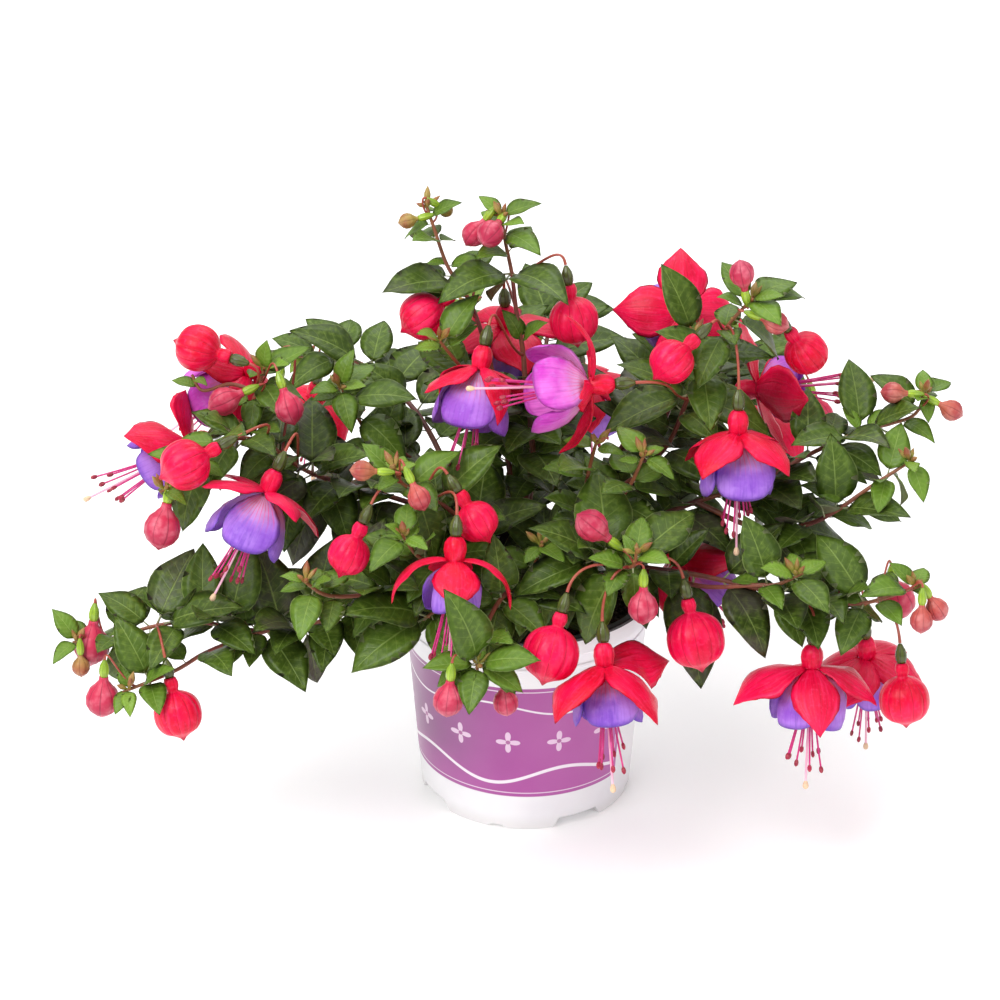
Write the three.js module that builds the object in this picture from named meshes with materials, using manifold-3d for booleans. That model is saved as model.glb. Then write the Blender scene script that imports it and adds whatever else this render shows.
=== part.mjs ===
// Trailing fuchsia in a standing nursery pot, in millimetres, +Z up.
// The origin is the centre of the pot's foot: +X is to the right, -Y to the front.
// Every leafy shoot, every bloom's calyx, every bloom's corolla and every fat bud is one closed body.
import * as THREE from "three";
import Module from "manifold-3d";

const wasm = await Module();
wasm.setup();

// ---- Driving dimensions ----

const pot = {
  height: 105, rimRadius: 60, rimDepth: 9, shoulderRadius: 57, footRadius: 50, wall: 1.5,
  padRadius: 14, channelInner: 17, channelOuter: 44, channelDepth: 5, floorTop: 6.5, sides: 28,
  drainHoles: 4, drainHoleRadius: 4, drainHoleRing: 30,
};
const footNotches = [
  { width: 26, height: 5, angles: [-61, 29, 119, -151] },
  { width: 11, height: 1.6, angles: [-16, 74, 164, -106] },
];
const soil = { top: 92, clearance: 0.4, sides: 28, ringFraction: 0.55, bump: 1.2, dome: 2 };
const stem = {
  rootRadius: 1.8, tipRadius: 1, sides: 3, stepsPerSpan: 8, longSpan: 32, holeRadius: 2.5,
  kneeHeight: 8, kneeShare: 0.1,
};
const leafForm = {
  petiole: 0.15, petioleRadius: 0.7, sunk: 0.7, wide: 0.42, narrowing: 0.74, halfWidth: 0.215,
  upperHalfWidth: 0.15, thickness: 1.1, fold: 0.18, arch: 0.07, wave: 0.015, plainBelow: 25, plainWide: 0.48,
};
const leafRule = { tries: 10, clearance: 0.35, turnStep: 9, riseStep: 8, shrink: 0.05 };
const calyx = {
  gap: 0.3, tubeLength: 11, neckRadius: 2.5, bellyRadius: 4.6, mouthRadius: 3.8,
  sepalLength: 31, sepalHalfWidth: 9.5, thickness: 1.3, curl: 52,
};
const corolla = {
  turn: 45, gap: 0.35, length: 27, coreRadius: 2.2, mouthRadius: 17, thickness: 1.2, overlap: 1.1,
  filaments: 2, filamentRadius: 0.6, filamentLength: 40, pistilLength: 52,
};
const pedicel = { radius: 0.7, ovaryLength: 9, ovaryRadius: 2.5, seat: 2.1 };
const fatBud = { tubeLength: 6, tubeRadius: 2.9, lengthOfBall: 1.92, tipLength: 2.5, sides: 6 };
const tipBud = { length: 9, radius: 2, sunk: 2 };

// Rule leaves: distance of each pair from the shoot's tip and how long its leaves are.
const pairRule = [
  { fromTip: 3, length: 14 }, { fromTip: 14, length: 24 }, { fromTip: 28, length: 33 },
  { fromTip: 46, length: 38 }, { fromTip: 67, length: 39 }, { fromTip: 90, length: 38 },
  { fromTip: 115, length: 36 }, { fromTip: 142, length: 34 },
];

// ---- Shoots ----
// A stem's points run from its root, straight up out of the soil, to its tip; a fork starts on its main stem.
// A leaf is [distance from the tip, heading, rise, length]: heading 0 is +X and 90 is +Y, rise is above level.
// rule: [distance from the tip where the pairs placed by rule begin, turn of the first pair].

const shoots = [
  {
    name: "shoot_left_low",
    stems: [
      {
        points: [
          [-14, -12, 68], [-14, -12, 84], [-14, -12, 99], [-24, -20, 122], [-52, -34, 127], [-89, -46, 110],
          [-117, -54, 108], [-147, -60, 116], [-165, -62, 115], [-184, -66, 111], [-201, -70, 111],
        ],
        leaves: [
          [2, 155, 50, 19], [0, 230, -10, 16], [20, 75, 20, 34], [37, 60, 40, 40], [40, 350, 20, 40],
          [6, 310, -5, 18], [63, 315, -5, 30], [71, 40, 0, 28], [87, 305, -25, 36], [105, 55, -80, 34],
          [112, 285, 0, 30], [17, 50, -80, 26],
        ],
        rule: [125, 20],
        tipBuds: 1,
      },
      {
        points: [[-117, -54, 108], [-130, -61, 107], [-144, -68, 104], [-156, -76, 100], [-178, -86, 95]],
        leaves: [
          [13, 140, 55, 33], [31, 135, 15, 20], [42, 330, 20, 36], [10, 330, 35, 22], [0, 205, 10, 20],
          [13, 285, -30, 28],
        ],
        tipBuds: 1,
      },
    ],
    fatBuds: [
      {
        name: "bud_left_low", stem: 0, fromTip: 38, end: [-157, -85, 102],
        aim: [0.2, -0.3, -0.93], radius: 10.7,
      },
    ],
    buds: [
      { stem: 0, fromTip: 16, end: [-193, -66, 109], aim: [-0.1, -0.2, -0.95], radius: 8 },
      { stem: 1, fromTip: 5, end: [-187, -84, 92], aim: [-0.1, -0.1, -1], radius: 7.5 },
      { stem: 0, fromTip: 9, end: [-197, -76, 103], aim: [0, -0.2, -1], radius: 4 },
    ],
  },
  {
    name: "shoot_left_high",
    stems: [
      {
        points: [
          [-18, 4, 68], [-18, 4, 84], [-18, 4, 99], [-36, 4, 134], [-70, 2, 150], [-98, 0, 160],
          [-117, -2, 176], [-126, -2, 188], [-122, 2, 200], [-117, 6, 213],
        ],
        leaves: [
          [5, 15, 25, 25], [4, 320, 25, 18], [2, 295, 75, 16], [16, 240, -25, 22], [35, 330, -25, 34],
          [9, 300, -20, 26], [13, 35, -20, 30], [68, 335, 30, 34],
        ],
        rule: [64, 60],
        tipBuds: 1,
      },
      {
        points: [[-122, 2, 200], [-134, 6, 202], [-147, 8, 198], [-152, 12, 204]],
        leaves: [],
        tipBuds: 0,
      },
      {
        points: [[-117, -2, 176], [-127, -24, 189], [-137, -40, 193], [-152, -54, 183], [-160, -58, 179]],
        leaves: [[6, 215, -45, 19]],
        tipBuds: 1,
      },
    ],
    blooms: [
      {
        name: "bloom_left_edge", stem: 2, fromTip: 50, end: [-143, -6, 182],
        aim: [-0.85, -0.2, -0.42], roll: 20, spread: 88, flare: 1,
      },
      {
        name: "bloom_left_front", stem: 0, fromTip: 62, end: [-110, -46, 184],
        aim: [-0.42, -0.35, -0.83], roll: 40, spread: 82, flare: 1.05,
      },
      {
        name: "bloom_left_rear", stem: 0, fromTip: 52, end: [-120, 25, 205],
        aim: [-0.6, 0.1, -0.5], roll: 50, spread: 95, flare: 1,
      },
    ],
    fatBuds: [
      {
        name: "bud_left_top", stem: 0, fromTip: 15, end: [-132, -4, 219],
        aim: [-0.85, 0.3, 0.15], radius: 10.5,
      },
      {
        name: "bud_left_middle", stem: 0, fromTip: 42, end: [-133, -58, 201],
        aim: [-0.85, -0.35, -0.35], radius: 11,
      },
    ],
    buds: [
      { stem: 2, fromTip: 10, end: [-159, -62, 165], aim: [-0.2, -0.3, -0.95], radius: 8 },
      { stem: 0, fromTip: 17, end: [-134, -14, 203], aim: [-0.85, -0.3, -0.3], radius: 6.5 },
      { stem: 0, fromTip: 10, end: [-106, -20, 203], aim: [0.3, -0.4, -0.85], radius: 6.5 },
    ],
  },
  {
    name: "shoot_back_left",
    stems: [
      {
        points: [
          [-14, 18, 68], [-14, 18, 84], [-14, 18, 99], [-30, 22, 136], [-56, 24, 158], [-72, 24, 168],
          [-79, 26, 178], [-87, 28, 192],
        ],
        leaves: [
          [0, 20, 70, 20], [0, 215, 10, 17], [2, 285, -30, 24], [2, 50, 15, 24], [8, 345, 10, 34],
          [16, 330, -30, 34], [31, 65, 15, 30],
        ],
        rule: [47, 110],
        tipBuds: 1,
      },
      {
        points: [[-30, 22, 136], [-52, 55, 166], [-82, 88, 178], [-112, 112, 170]],
        rule: [0, 30],
        tipBuds: 1,
      },
    ],
    blooms: [
      {
        name: "bloom_back_left", stem: 1, fromTip: 22, end: [-104, 126, 150],
        aim: [-0.1, 0.25, -0.95], roll: 15, spread: 84, flare: 1,
      },
    ],
    buds: [
      { stem: 1, fromTip: 8, end: [-124, 108, 150], aim: [-0.3, -0.1, -0.95], radius: 7 },
    ],
  },
  {
    name: "shoot_front_left",
    stems: [
      {
        points: [
          [-8, -20, 68], [-8, -20, 84], [-8, -20, 99], [-18, -32, 136], [-34, -48, 165], [-47, -58, 178],
          [-55, -64, 187], [-58, -66, 196],
        ],
        leaves: [
          [10, 160, 40, 24], [16, 35, 20, 30], [14, 330, 15, 30], [35, 20, 35, 42], [19, 305, -55, 32],
        ],
        rule: [47, 70],
        tipBuds: 1,
      },
      {
        points: [[-18, -32, 136], [-32, -58, 146], [-46, -80, 158], [-54, -92, 176]],
        leaves: [[0, 230, -15, 24], [0, 85, 30, 20]],
        rule: [18, 20],
        tipBuds: 1,
      },
      {
        points: [[-14, -28, 124], [-36, -54, 134], [-65, -72, 137], [-86, -84, 142], [-97, -90, 153]],
        leaves: [[8, 255, -30, 26], [0, 45, -5, 16], [10, 65, 10, 24]],
        rule: [31, 80],
        tipBuds: 1,
      },
    ],
    blooms: [
      {
        name: "bloom_front_left", stem: 0, fromTip: 30, end: [-31, -92, 175],
        aim: [-0.05, -0.35, -0.93], roll: 45, spread: 92, flare: 0.8,
      },
    ],
    fatBuds: [
      {
        name: "bud_front_left", stem: 0, fromTip: 10, end: [-71, -80, 175],
        aim: [-0.4, -0.3, -0.85], radius: 9,
      },
      {
        name: "bud_front_middle", stem: 0, fromTip: 22, end: [-30, -74, 187],
        aim: [0.5, -0.3, -0.75], radius: 9,
      },
    ],
    buds: [
      { stem: 0, fromTip: 6, end: [-70, -76, 198], aim: [-0.95, -0.1, 0.1], radius: 4.5 },
      { stem: 0, fromTip: 8, end: [-47, -84, 190], aim: [0.4, -0.3, -0.85], radius: 5 },
    ],
  },
  {
    name: "shoot_tall_pair",
    stems: [
      {
        points: [
          [-2, 8, 68], [-2, 8, 84], [-2, 8, 99], [-7, 8, 150], [-14, 6, 200], [-22, 8, 231], [-28, 14, 243],
          [-36, 20, 254], [-42, 26, 270], [-46, 30, 281],
        ],
        leaves: [
          [11, 185, 10, 25], [6, 10, 15, 24], [19, 115, -10, 28], [30, 335, 15, 20], [40, 195, -20, 46],
        ],
        rule: [82, 40],
        tipBuds: 1,
      },
      {
        points: [
          [-4, 8, 126], [2, 2, 160], [2, -4, 182], [-1, 0, 207], [-2, 4, 219], [-5, 8, 237], [-7, 12, 253],
          [-10, 14, 268], [-12, 16, 282],
        ],
        leaves: [
          [2, 205, 5, 18], [2, 5, 20, 19], [11, 150, -10, 26], [11, 315, -5, 24], [30, 215, 0, 40],
          [30, 325, 5, 48], [61, 170, 65, 18], [61, 330, 45, 18], [32, 125, -40, 24],
        ],
        rule: [82, 75],
        tipBuds: 1,
      },
      {
        points: [[-12, 7, 186], [-21, -4, 204], [-31, -12, 220], [-40, -16, 234]],
        leaves: [[4, 30, 50, 28], [2, 225, 35, 16], [6, 15, 30, 18]],
        rule: [18, 10],
        tipBuds: 1,
      },
    ],
    blooms: [
      {
        name: "bloom_middle_top", stem: 1, fromTip: 66, end: [-19, -20, 232],
        aim: [-0.2, -0.45, -0.87], roll: 30, spread: 90, flare: 1,
      },
      {
        name: "bloom_rear_top", stem: 1, fromTip: 48, end: [-10, 36, 228],
        aim: [0.05, 0.1, -0.98], roll: 20, spread: 100, flare: 0.9,
      },
    ],
    fatBuds: [
      {
        name: "bud_top_left", stem: 0, fromTip: 58, end: [-33, 5, 246],
        aim: [-0.75, -0.2, -0.5], radius: 10.7,
      },
      {
        name: "bud_top_right", stem: 1, fromTip: 31, end: [18, 2, 252],
        aim: [0.15, -0.1, -0.97], radius: 11,
      },
    ],
    buds: [
      { stem: 1, fromTip: 13, end: [-16, 6, 275], aim: [-0.4, -0.75, -0.3], radius: 6 },
      { stem: 1, fromTip: 13, end: [-23, 14, 272], aim: [-0.6, -0.1, -0.8], radius: 5.5 },
      { stem: 0, fromTip: 11, end: [-53, 26, 273], aim: [-0.95, -0.1, -0.2], radius: 3.6 },
      { stem: 0, fromTip: 8, end: [-37, 32, 276], aim: [0.6, 0.3, -0.5], radius: 3.2 },
    ],
  },
  {
    name: "shoot_right_top",
    stems: [
      {
        points: [
          [12, 4, 68], [12, 4, 84], [12, 4, 99], [30, 0, 140], [52, -6, 164], [64, -10, 181], [72, -14, 206],
          [80, -17, 224], [87, -20, 241], [98, -22, 256],
        ],
        leaves: [
          [21, 235, -40, 30], [2, 260, -35, 30], [14, 20, -40, 34], [57, 200, -15, 44],
          [44, 275, -30, 32], [5, 125, 35, 24], [0, 330, 20, 16], [0, 35, 10, 26], [2, 30, -5, 32],
        ],
        rule: [82, 35],
        tipBuds: 1,
      },
      {
        points: [[52, -6, 164], [61, 2, 182], [68, 2, 204], [72, -4, 222], [73, -10, 234]],
        leaves: [[0, 150, 65, 36], [38, 345, -15, 49]],
        rule: [31, 100],
        tipBuds: 1,
      },
    ],
    blooms: [
      {
        name: "bloom_centre_right", stem: 0, fromTip: 59, end: [37, -48, 226],
        aim: [-0.98, -0.15, 0], roll: 0, spread: 100, flare: 1.1,
      },
      {
        name: "bloom_right_crown", stem: 1, fromTip: 14, end: [73, 10, 236],
        aim: [-0.2, 0.85, -0.4], roll: 20, spread: 92, flare: 1,
      },
      {
        name: "bloom_right_rear", stem: 1, fromTip: 32, end: [96, 28, 189],
        aim: [0.85, -0.2, 0.15], roll: 40, spread: 85, flare: 1,
      },
      {
        name: "bloom_right_front", stem: 0, fromTip: 19, end: [91, -44, 212],
        aim: [0, -0.25, -0.97], roll: 40, spread: 84, flare: 1,
      },
    ],
    fatBuds: [
      {
        name: "bud_right_crown", stem: 0, fromTip: 20, end: [73, -32, 241],
        aim: [-0.65, -0.4, -0.5], radius: 9.7,
      },
      {
        name: "bud_right_edge", stem: 0, fromTip: 8, end: [114, -17, 238],
        aim: [0.5, 0.2, -0.7], radius: 9.7,
      },
    ],
    buds: [
      { stem: 0, fromTip: 4, end: [92, -26, 267], aim: [-0.2, 0, 1], radius: 5.5 },
      { stem: 0, fromTip: 9, end: [106, -32, 248], aim: [0.9, -0.1, -0.3], radius: 5 },
    ],
  },
  {
    name: "shoot_right_side",
    stems: [
      {
        points: [
          [20, -4, 68], [20, -4, 84], [20, -4, 99], [44, -10, 134], [76, -17, 154], [104, -20, 165],
          [126, -14, 176], [150, -8, 185], [164, -4, 187], [175, -2, 191], [180, 2, 202],
        ],
        leaves: [
          [45, 210, 5, 32], [40, 95, 45, 36], [37, 10, 35, 16], [10, 155, 30, 27], [13, 125, 45, 30],
          [2, 55, 65, 17], [3, 5, -25, 24],
        ],
        rule: [64, 95],
        tipBuds: 1,
      },
      {
        points: [
          [76, -17, 154], [104, -28, 146], [124, -34, 151], [137, -36, 159], [152, -36, 171], [171, -34, 184],
        ],
        leaves: [
          [42, 120, 80, 36], [40, 320, 10, 36], [15, 45, 60, 30], [15, 250, -25, 22], [12, 45, -60, 22],
          [0, 205, 60, 17], [0, 295, -45, 20], [58, 240, 0, 28],
        ],
        rule: [64, 55],
        tipBuds: 1,
      },
    ],
    buds: [
      { stem: 0, fromTip: 9, end: [164, -8, 204], aim: [-0.95, -0.1, 0.1], radius: 4.8 },
      { stem: 0, fromTip: 7, end: [190, -4, 194], aim: [0.8, -0.1, -0.4], radius: 4.8 },
    ],
  },
  {
    name: "shoot_right_low",
    stems: [
      {
        points: [
          [17, -16, 68], [17, -16, 84], [17, -16, 99], [40, -34, 129], [70, -50, 135], [100, -60, 133],
          [116, -66, 131], [131, -70, 132], [147, -74, 133], [171, -78, 144],
        ],
        leaves: [
          [27, 135, 40, 38], [27, 240, -30, 28], [29, 140, -40, 28], [27, 145, -10, 20],
          [7, 210, 15, 26], [0, 180, 35, 18], [0, 70, 15, 15], [108, 280, -60, 52], [104, 290, -55, 46],
        ],
        rule: [64, 15],
        tipBuds: 1,
      },
      {
        points: [[52, -41, 132], [76, -64, 136], [98, -76, 143], [108, -79, 145], [118, -82, 152]],
        leaves: [
          [18, 155, 70, 34], [5, 300, -10, 26], [20, 130, -15, 20], [0, 125, 55, 18], [0, 35, 5, 18],
          [3, 200, 25, 18],
        ],
        rule: [47, 60],
        tipBuds: 1,
      },
    ],
    blooms: [
      {
        name: "bloom_low_right", stem: 0, fromTip: 57, end: [124, -84, 118],
        aim: [-0.05, -0.3, -0.95], roll: 0, spread: 82, flare: 1,
      },
      {
        name: "bloom_low_rear", stem: 0, fromTip: 40, end: [156, -24, 88],
        aim: [0.1, 0.1, -0.97], roll: 30, spread: 84, flare: 1,
      },
    ],
    fatBuds: [
      {
        name: "bud_low_right", stem: 0, fromTip: 26, end: [164, -79, 106],
        aim: [0.1, -0.25, -0.95], radius: 11.2,
      },
    ],
    buds: [
      { stem: 0, fromTip: 20, end: [164, -52, 124], aim: [0.2, 0.2, -0.95], radius: 8.5 },
      { stem: 0, fromTip: 9, end: [170, -86, 132], aim: [0, -0.2, -0.97], radius: 5 },
      { stem: 0, fromTip: 6, end: [177, -80, 134], aim: [0.5, 0, -0.85], radius: 5 },
    ],
  },
  {
    name: "shoot_front_right",
    stems: [
      {
        points: [
          [7, -22, 68], [7, -22, 84], [7, -22, 99], [8, -32, 130], [13, -48, 147], [32, -70, 152],
          [44, -84, 156], [46, -90, 168],
        ],
        leaves: [
          [33, 195, 35, 38], [36, 195, -20, 40], [30, 95, 40, 46], [7, 40, 20, 38], [5, 350, 40, 22],
          [16, 185, 30, 20], [7, 75, 30, 24], [12, 300, -35, 32], [22, 215, -50, 46],
        ],
        rule: [64, 5],
        tipBuds: 1,
      },
      {
        points: [[8, -32, 130], [24, -38, 152], [42, -46, 172], [51, -54, 197]],
        leaves: [[3, 130, 30, 20], [3, 325, -20, 18], [24, 35, -20, 30], [17, 110, 10, 24]],
        rule: [47, 85],
        tipBuds: 1,
      },
      {
        points: [[24, -38, 152], [26, -40, 176], [30, -44, 198]],
        leaves: [[6, 150, 10, 16], [17, 240, 25, 30]],
        rule: [31, 35],
        tipBuds: 1,
      },
    ],
    blooms: [
      {
        name: "bloom_centre_low", stem: 1, fromTip: 76, end: [60, -18, 134],
        aim: [0.6, -0.1, -0.6], roll: 15, spread: 85, flare: 0.9,
      },
      {
        name: "bloom_front_right", stem: 0, fromTip: 16, end: [32, -100, 128],
        aim: [0.05, -0.45, -0.9], roll: 25, spread: 84, flare: 1,
      },
    ],
    fatBuds: [
      {
        name: "bud_front_right", stem: 0, fromTip: 18, end: [14, -99, 142],
        aim: [-0.25, -0.4, -0.85], radius: 12.4,
      },
      {
        name: "bud_low_centre", stem: 0, fromTip: 13, end: [69, -79, 138],
        aim: [0.2, -0.35, -0.9], radius: 12.8,
      },
    ],
    buds: [
      { stem: 0, fromTip: 10, end: [28, -78, 172], aim: [-0.7, 0, 0.6], radius: 7 },
      { stem: 0, fromTip: 11, end: [49, -94, 143], aim: [0, -0.2, -1], radius: 6.5 },
    ],
  },
  {
    name: "shoot_front_centre",
    stems: [
      {
        points: [
          [-2, -31, 68], [-2, -31, 84], [-2, -31, 99], [-6, -52, 128], [-14, -84, 137], [-21, -108, 131],
          [-22, -120, 125],
        ],
        leaves: [
          [9, 195, 85, 38], [3, 345, 15, 28], [5, 195, 15, 28], [0, 260, -30, 24], [0, 340, -30, 25],
        ],
        rule: [31, 0],
        tipBuds: 1,
      },
      {
        points: [[-6, -52, 128], [-22, -68, 134], [-36, -74, 132], [-46, -78, 127]],
        leaves: [[0, 205, 20, 42], [0, 215, -20, 42], [9, 150, -45, 30]],
        rule: [18, 60],
        tipBuds: 0,
      },
      {
        points: [[-4, -42, 118], [2, -54, 138], [6, -64, 158]],
        leaves: [[0, 295, 5, 22]],
        rule: [18, 45],
        tipBuds: 1,
      },
    ],
    buds: [
      { stem: 0, fromTip: 6, end: [-34, -128, 117], aim: [-0.1, -0.1, -1], radius: 6.5 },
      { stem: 0, fromTip: 5, end: [-10, -118, 110], aim: [0.1, -0.1, -1], radius: 5.5 },
    ],
  },
  {
    name: "shoot_back_middle",
    stems: [
      {
        points: [
          [0, 24, 68], [0, 24, 84], [0, 24, 99], [4, 44, 160], [10, 80, 192], [14, 108, 192], [18, 132, 178],
        ],
        rule: [0, 15],
        tipBuds: 1,
      },
      { points: [[4, 44, 160], [-12, 66, 192], [-30, 84, 212]], rule: [0, 50], tipBuds: 1 },
    ],
    blooms: [
      {
        name: "bloom_back_middle", stem: 0, fromTip: 24, end: [28, 130, 158],
        aim: [0.15, 0.25, -0.95], roll: 35, spread: 86, flare: 1,
      },
    ],
    buds: [{ stem: 0, fromTip: 9, end: [4, 138, 160], aim: [-0.3, 0.2, -0.95], radius: 7 }],
  },
  {
    name: "shoot_back_right",
    stems: [
      {
        points: [
          [14, 18, 68], [14, 18, 84], [14, 18, 99], [38, 38, 142], [72, 66, 168], [104, 90, 174],
          [132, 108, 164],
        ],
        rule: [0, 70],
        tipBuds: 1,
      },
      { points: [[38, 38, 142], [58, 44, 176], [80, 50, 198], [98, 54, 212]], rule: [0, 20], tipBuds: 1 },
    ],
    blooms: [
      {
        name: "bloom_back_right", stem: 0, fromTip: 24, end: [120, 116, 146],
        aim: [0.1, 0.2, -0.97], roll: 10, spread: 84, flare: 1,
      },
    ],
    buds: [{ stem: 0, fromTip: 8, end: [144, 98, 146], aim: [0.3, -0.1, -0.95], radius: 7.5 }],
  },
];

// ---- Solids from rings ----

const vector = (x, y, z) => new THREE.Vector3(x, y, z);
const turned = (degrees) => THREE.MathUtils.degToRad(degrees);

// A number from 0 to 1 that is always the same for the same keys.
const drawWeights = [12.9898, 78.233, 37.719, 53.117];
function draw(...keys) {
  const sum = keys.reduce((total, key, index) => total + key * drawWeights[index], 0.5);
  const wave = Math.sin(sum) * 43758.5453;
  return wave - Math.floor(wave);
}

function solidOf(positions, indices) {
  const build = (triVerts) =>
    new wasm.Manifold(
      new wasm.Mesh({
        numProp: 3,
        vertProperties: new Float32Array(positions),
        triVerts: new Uint32Array(triVerts),
      }),
    );
  const made = build(indices);
  if (made.volume() > 0) return made;
  const flipped = [];
  for (let i = 0; i < indices.length; i += 3) flipped.push(indices[i], indices[i + 2], indices[i + 1]);
  return build(flipped);
}

// A closed body through a row of rings. A ring of one point is an apex; an open end is capped flat.
// The diagonals alternate from one column to the next, so a blade's two faces are split alike.
function loft(rings) {
  const positions = [];
  const indices = [];
  const starts = rings.map((ring) => {
    const start = positions.length / 3;
    ring.forEach((point) => positions.push(point.x, point.y, point.z));
    return start;
  });
  const count = Math.max(...rings.map((ring) => ring.length));
  for (let k = 0; k + 1 < rings.length; k++) {
    const low = starts[k];
    const high = starts[k + 1];
    for (let j = 0; j < count; j++) {
      const next = (j + 1) % count;
      if (rings[k].length === 1) indices.push(low, high + next, high + j);
      else if (rings[k + 1].length === 1) indices.push(low + j, low + next, high);
      else if (j % 2 === 0) {
        indices.push(low + j, low + next, high + next, low + j, high + next, high + j);
      } else indices.push(low + j, low + next, high + j, low + next, high + next, high + j);
    }
  }
  const last = starts[rings.length - 1];
  for (let j = 1; j + 1 < count; j++) {
    if (rings[0].length > 1) indices.push(0, j + 1, j);
    if (rings[rings.length - 1].length > 1) indices.push(last, last + j, last + j + 1);
  }
  return solidOf(positions, indices);
}

// Edges shorter than this are closed up where bodies were joined.
const tidyTolerance = 0.01;

const meshOf = (solid, name, material) => {
  const data = solid.simplify(tidyTolerance).getMesh();
  const geometry = new THREE.BufferGeometry();
  const positions = new Float32Array(data.numVert * 3);
  for (let i = 0; i < data.numVert; i++) {
    positions.set(data.vertProperties.subarray(i * data.numProp, i * data.numProp + 3), i * 3);
  }
  geometry.setAttribute("position", new THREE.BufferAttribute(positions, 3));
  geometry.setIndex(new THREE.BufferAttribute(new Uint32Array(data.triVerts), 1));
  geometry.computeVertexNormals();
  const mesh = new THREE.Mesh(geometry, material);
  mesh.name = name;
  return mesh;
};

function fromGeometry(geometry) {
  const source = geometry.index ? geometry.toNonIndexed() : geometry;
  const seen = new Map();
  const positions = [];
  const indices = [];
  const array = source.attributes.position.array;
  for (let i = 0; i < array.length; i += 3) {
    const key = [array[i], array[i + 1], array[i + 2]].map((value) => Math.round(value * 1e4)).join();
    if (!seen.has(key)) {
      seen.set(key, positions.length / 3);
      positions.push(array[i], array[i + 1], array[i + 2]);
    }
    indices.push(seen.get(key));
  }
  const kept = [];
  for (let i = 0; i < indices.length; i += 3) {
    const [a, b, c] = indices.slice(i, i + 3);
    if (a !== b && b !== c && c !== a) kept.push(a, b, c);
  }
  return solidOf(positions, kept);
}

// A body turned round the Z axis from [radius, height] points that start and end on the axis.
function turnedBody(profile, sides) {
  const points = profile.map(([radius, height]) => new THREE.Vector2(radius, height));
  return fromGeometry(new THREE.LatheGeometry(points, sides).rotateX(Math.PI / 2));
}

// ---- Stems ----

// Moves the samples between two rings onto the straight piece of stem that joins them.
function straighten(samples) {
  const rings = samples.map(({ isRing }, index) => (isRing ? index : -1)).filter((index) => index >= 0);
  rings.slice(1).forEach((high, k) => {
    const low = rings[k];
    for (let i = low + 1; i < high; i++) {
      samples[i].point.lerpVectors(samples[low].point, samples[high].point, (i - low) / (high - low));
    }
  });
}

// A route through the stem's points, with each sample's distance from the tip.
// A stem that comes out of the soil gets a knee just above it, so that it stands straight in its hole.
function routeOf(points, isFork) {
  const knots = points.map((p) => vector(...p));
  if (!isFork) {
    const knee = knots[2].clone().lerp(knots[3], stem.kneeShare);
    knots.splice(3, 0, knee.setZ(knots[2].z + stem.kneeHeight));
  }
  const curve = new THREE.CatmullRomCurve3(knots, false, "catmullrom", 0.5);
  const samples = curve.getPoints(stem.stepsPerSpan * (knots.length - 1)).map((point, index) => {
    const span = knots[Math.floor(index / stem.stepsPerSpan)];
    const next = knots[Math.min(Math.floor(index / stem.stepsPerSpan) + 1, knots.length - 1)];
    const ringEvery = span.distanceTo(next) > stem.longSpan ? stem.stepsPerSpan / 2 : stem.stepsPerSpan;
    return { point, isRing: index % ringEvery === 0 };
  });
  straighten(samples);
  let fromTip = 0;
  for (let i = samples.length - 1; i >= 0; i--) {
    if (i + 1 < samples.length) fromTip += samples[i].point.distanceTo(samples[i + 1].point);
    samples[i].fromTip = fromTip;
    const ahead = samples[Math.min(i + 1, samples.length - 1)].point;
    const behind = samples[Math.max(i - 1, 0)].point;
    samples[i].along = ahead.clone().sub(behind).normalize();
  }
  return samples;
}

// The sample nearest to a distance from the tip, but never the tip itself, so that a root is sunk in.
const sampleAt = (samples, fromTip) =>
  samples.filter((sample) => sample.fromTip >= tipBud.sunk).reduce((best, sample) =>
    Math.abs(sample.fromTip - fromTip) < Math.abs(best.fromTip - fromTip) ? sample : best,
  );

// Rings of a round body along samples, each with its own radius, carried without twist.
function ringsAlong(samples, radii, sides, turn = 0) {
  let across = vector(0.31, 0.87, 0.38);
  return samples.map(({ point, along }, index) => {
    if (radii[index] === 0) return [point.clone()];
    across = across.clone().addScaledVector(along, -across.dot(along)).normalize();
    const upward = along.clone().cross(across);
    return Array.from({ length: sides }, (_, side) => {
      const angle = turn + (2 * Math.PI * side) / sides;
      return point.clone()
        .addScaledVector(across, radii[index] * Math.cos(angle))
        .addScaledVector(upward, radii[index] * Math.sin(angle));
    });
  });
}

function stemBody(samples, stemIndex) {
  const kept = samples.filter(({ isRing }) => isRing);
  const whole = samples[0].fromTip;
  const radii = kept.map(({ fromTip }) => {
    const share = Math.min(fromTip / (stemIndex > 0 ? 160 : whole), 1);
    return stem.tipRadius + (stem.rootRadius - stem.tipRadius) * share;
  });
  return loft(ringsAlong(kept, radii, stem.sides, 0.1 + 0.45 * stemIndex));
}

// ---- Leaves ----

// The blade's frame: along it, across it, and out of its upper face, which looks up and a little outwards.
function leafFrame(heading, rise) {
  const level = Math.cos(turned(rise));
  const along = vector(
    level * Math.cos(turned(heading)), level * Math.sin(turned(heading)), Math.sin(turned(rise)),
  );
  const lookout = vector(0.25 * along.x, 0.25 * along.y - 0.35, 1);
  const across = lookout.cross(along).normalize();
  return { along, across, upward: along.clone().cross(across) };
}

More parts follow.
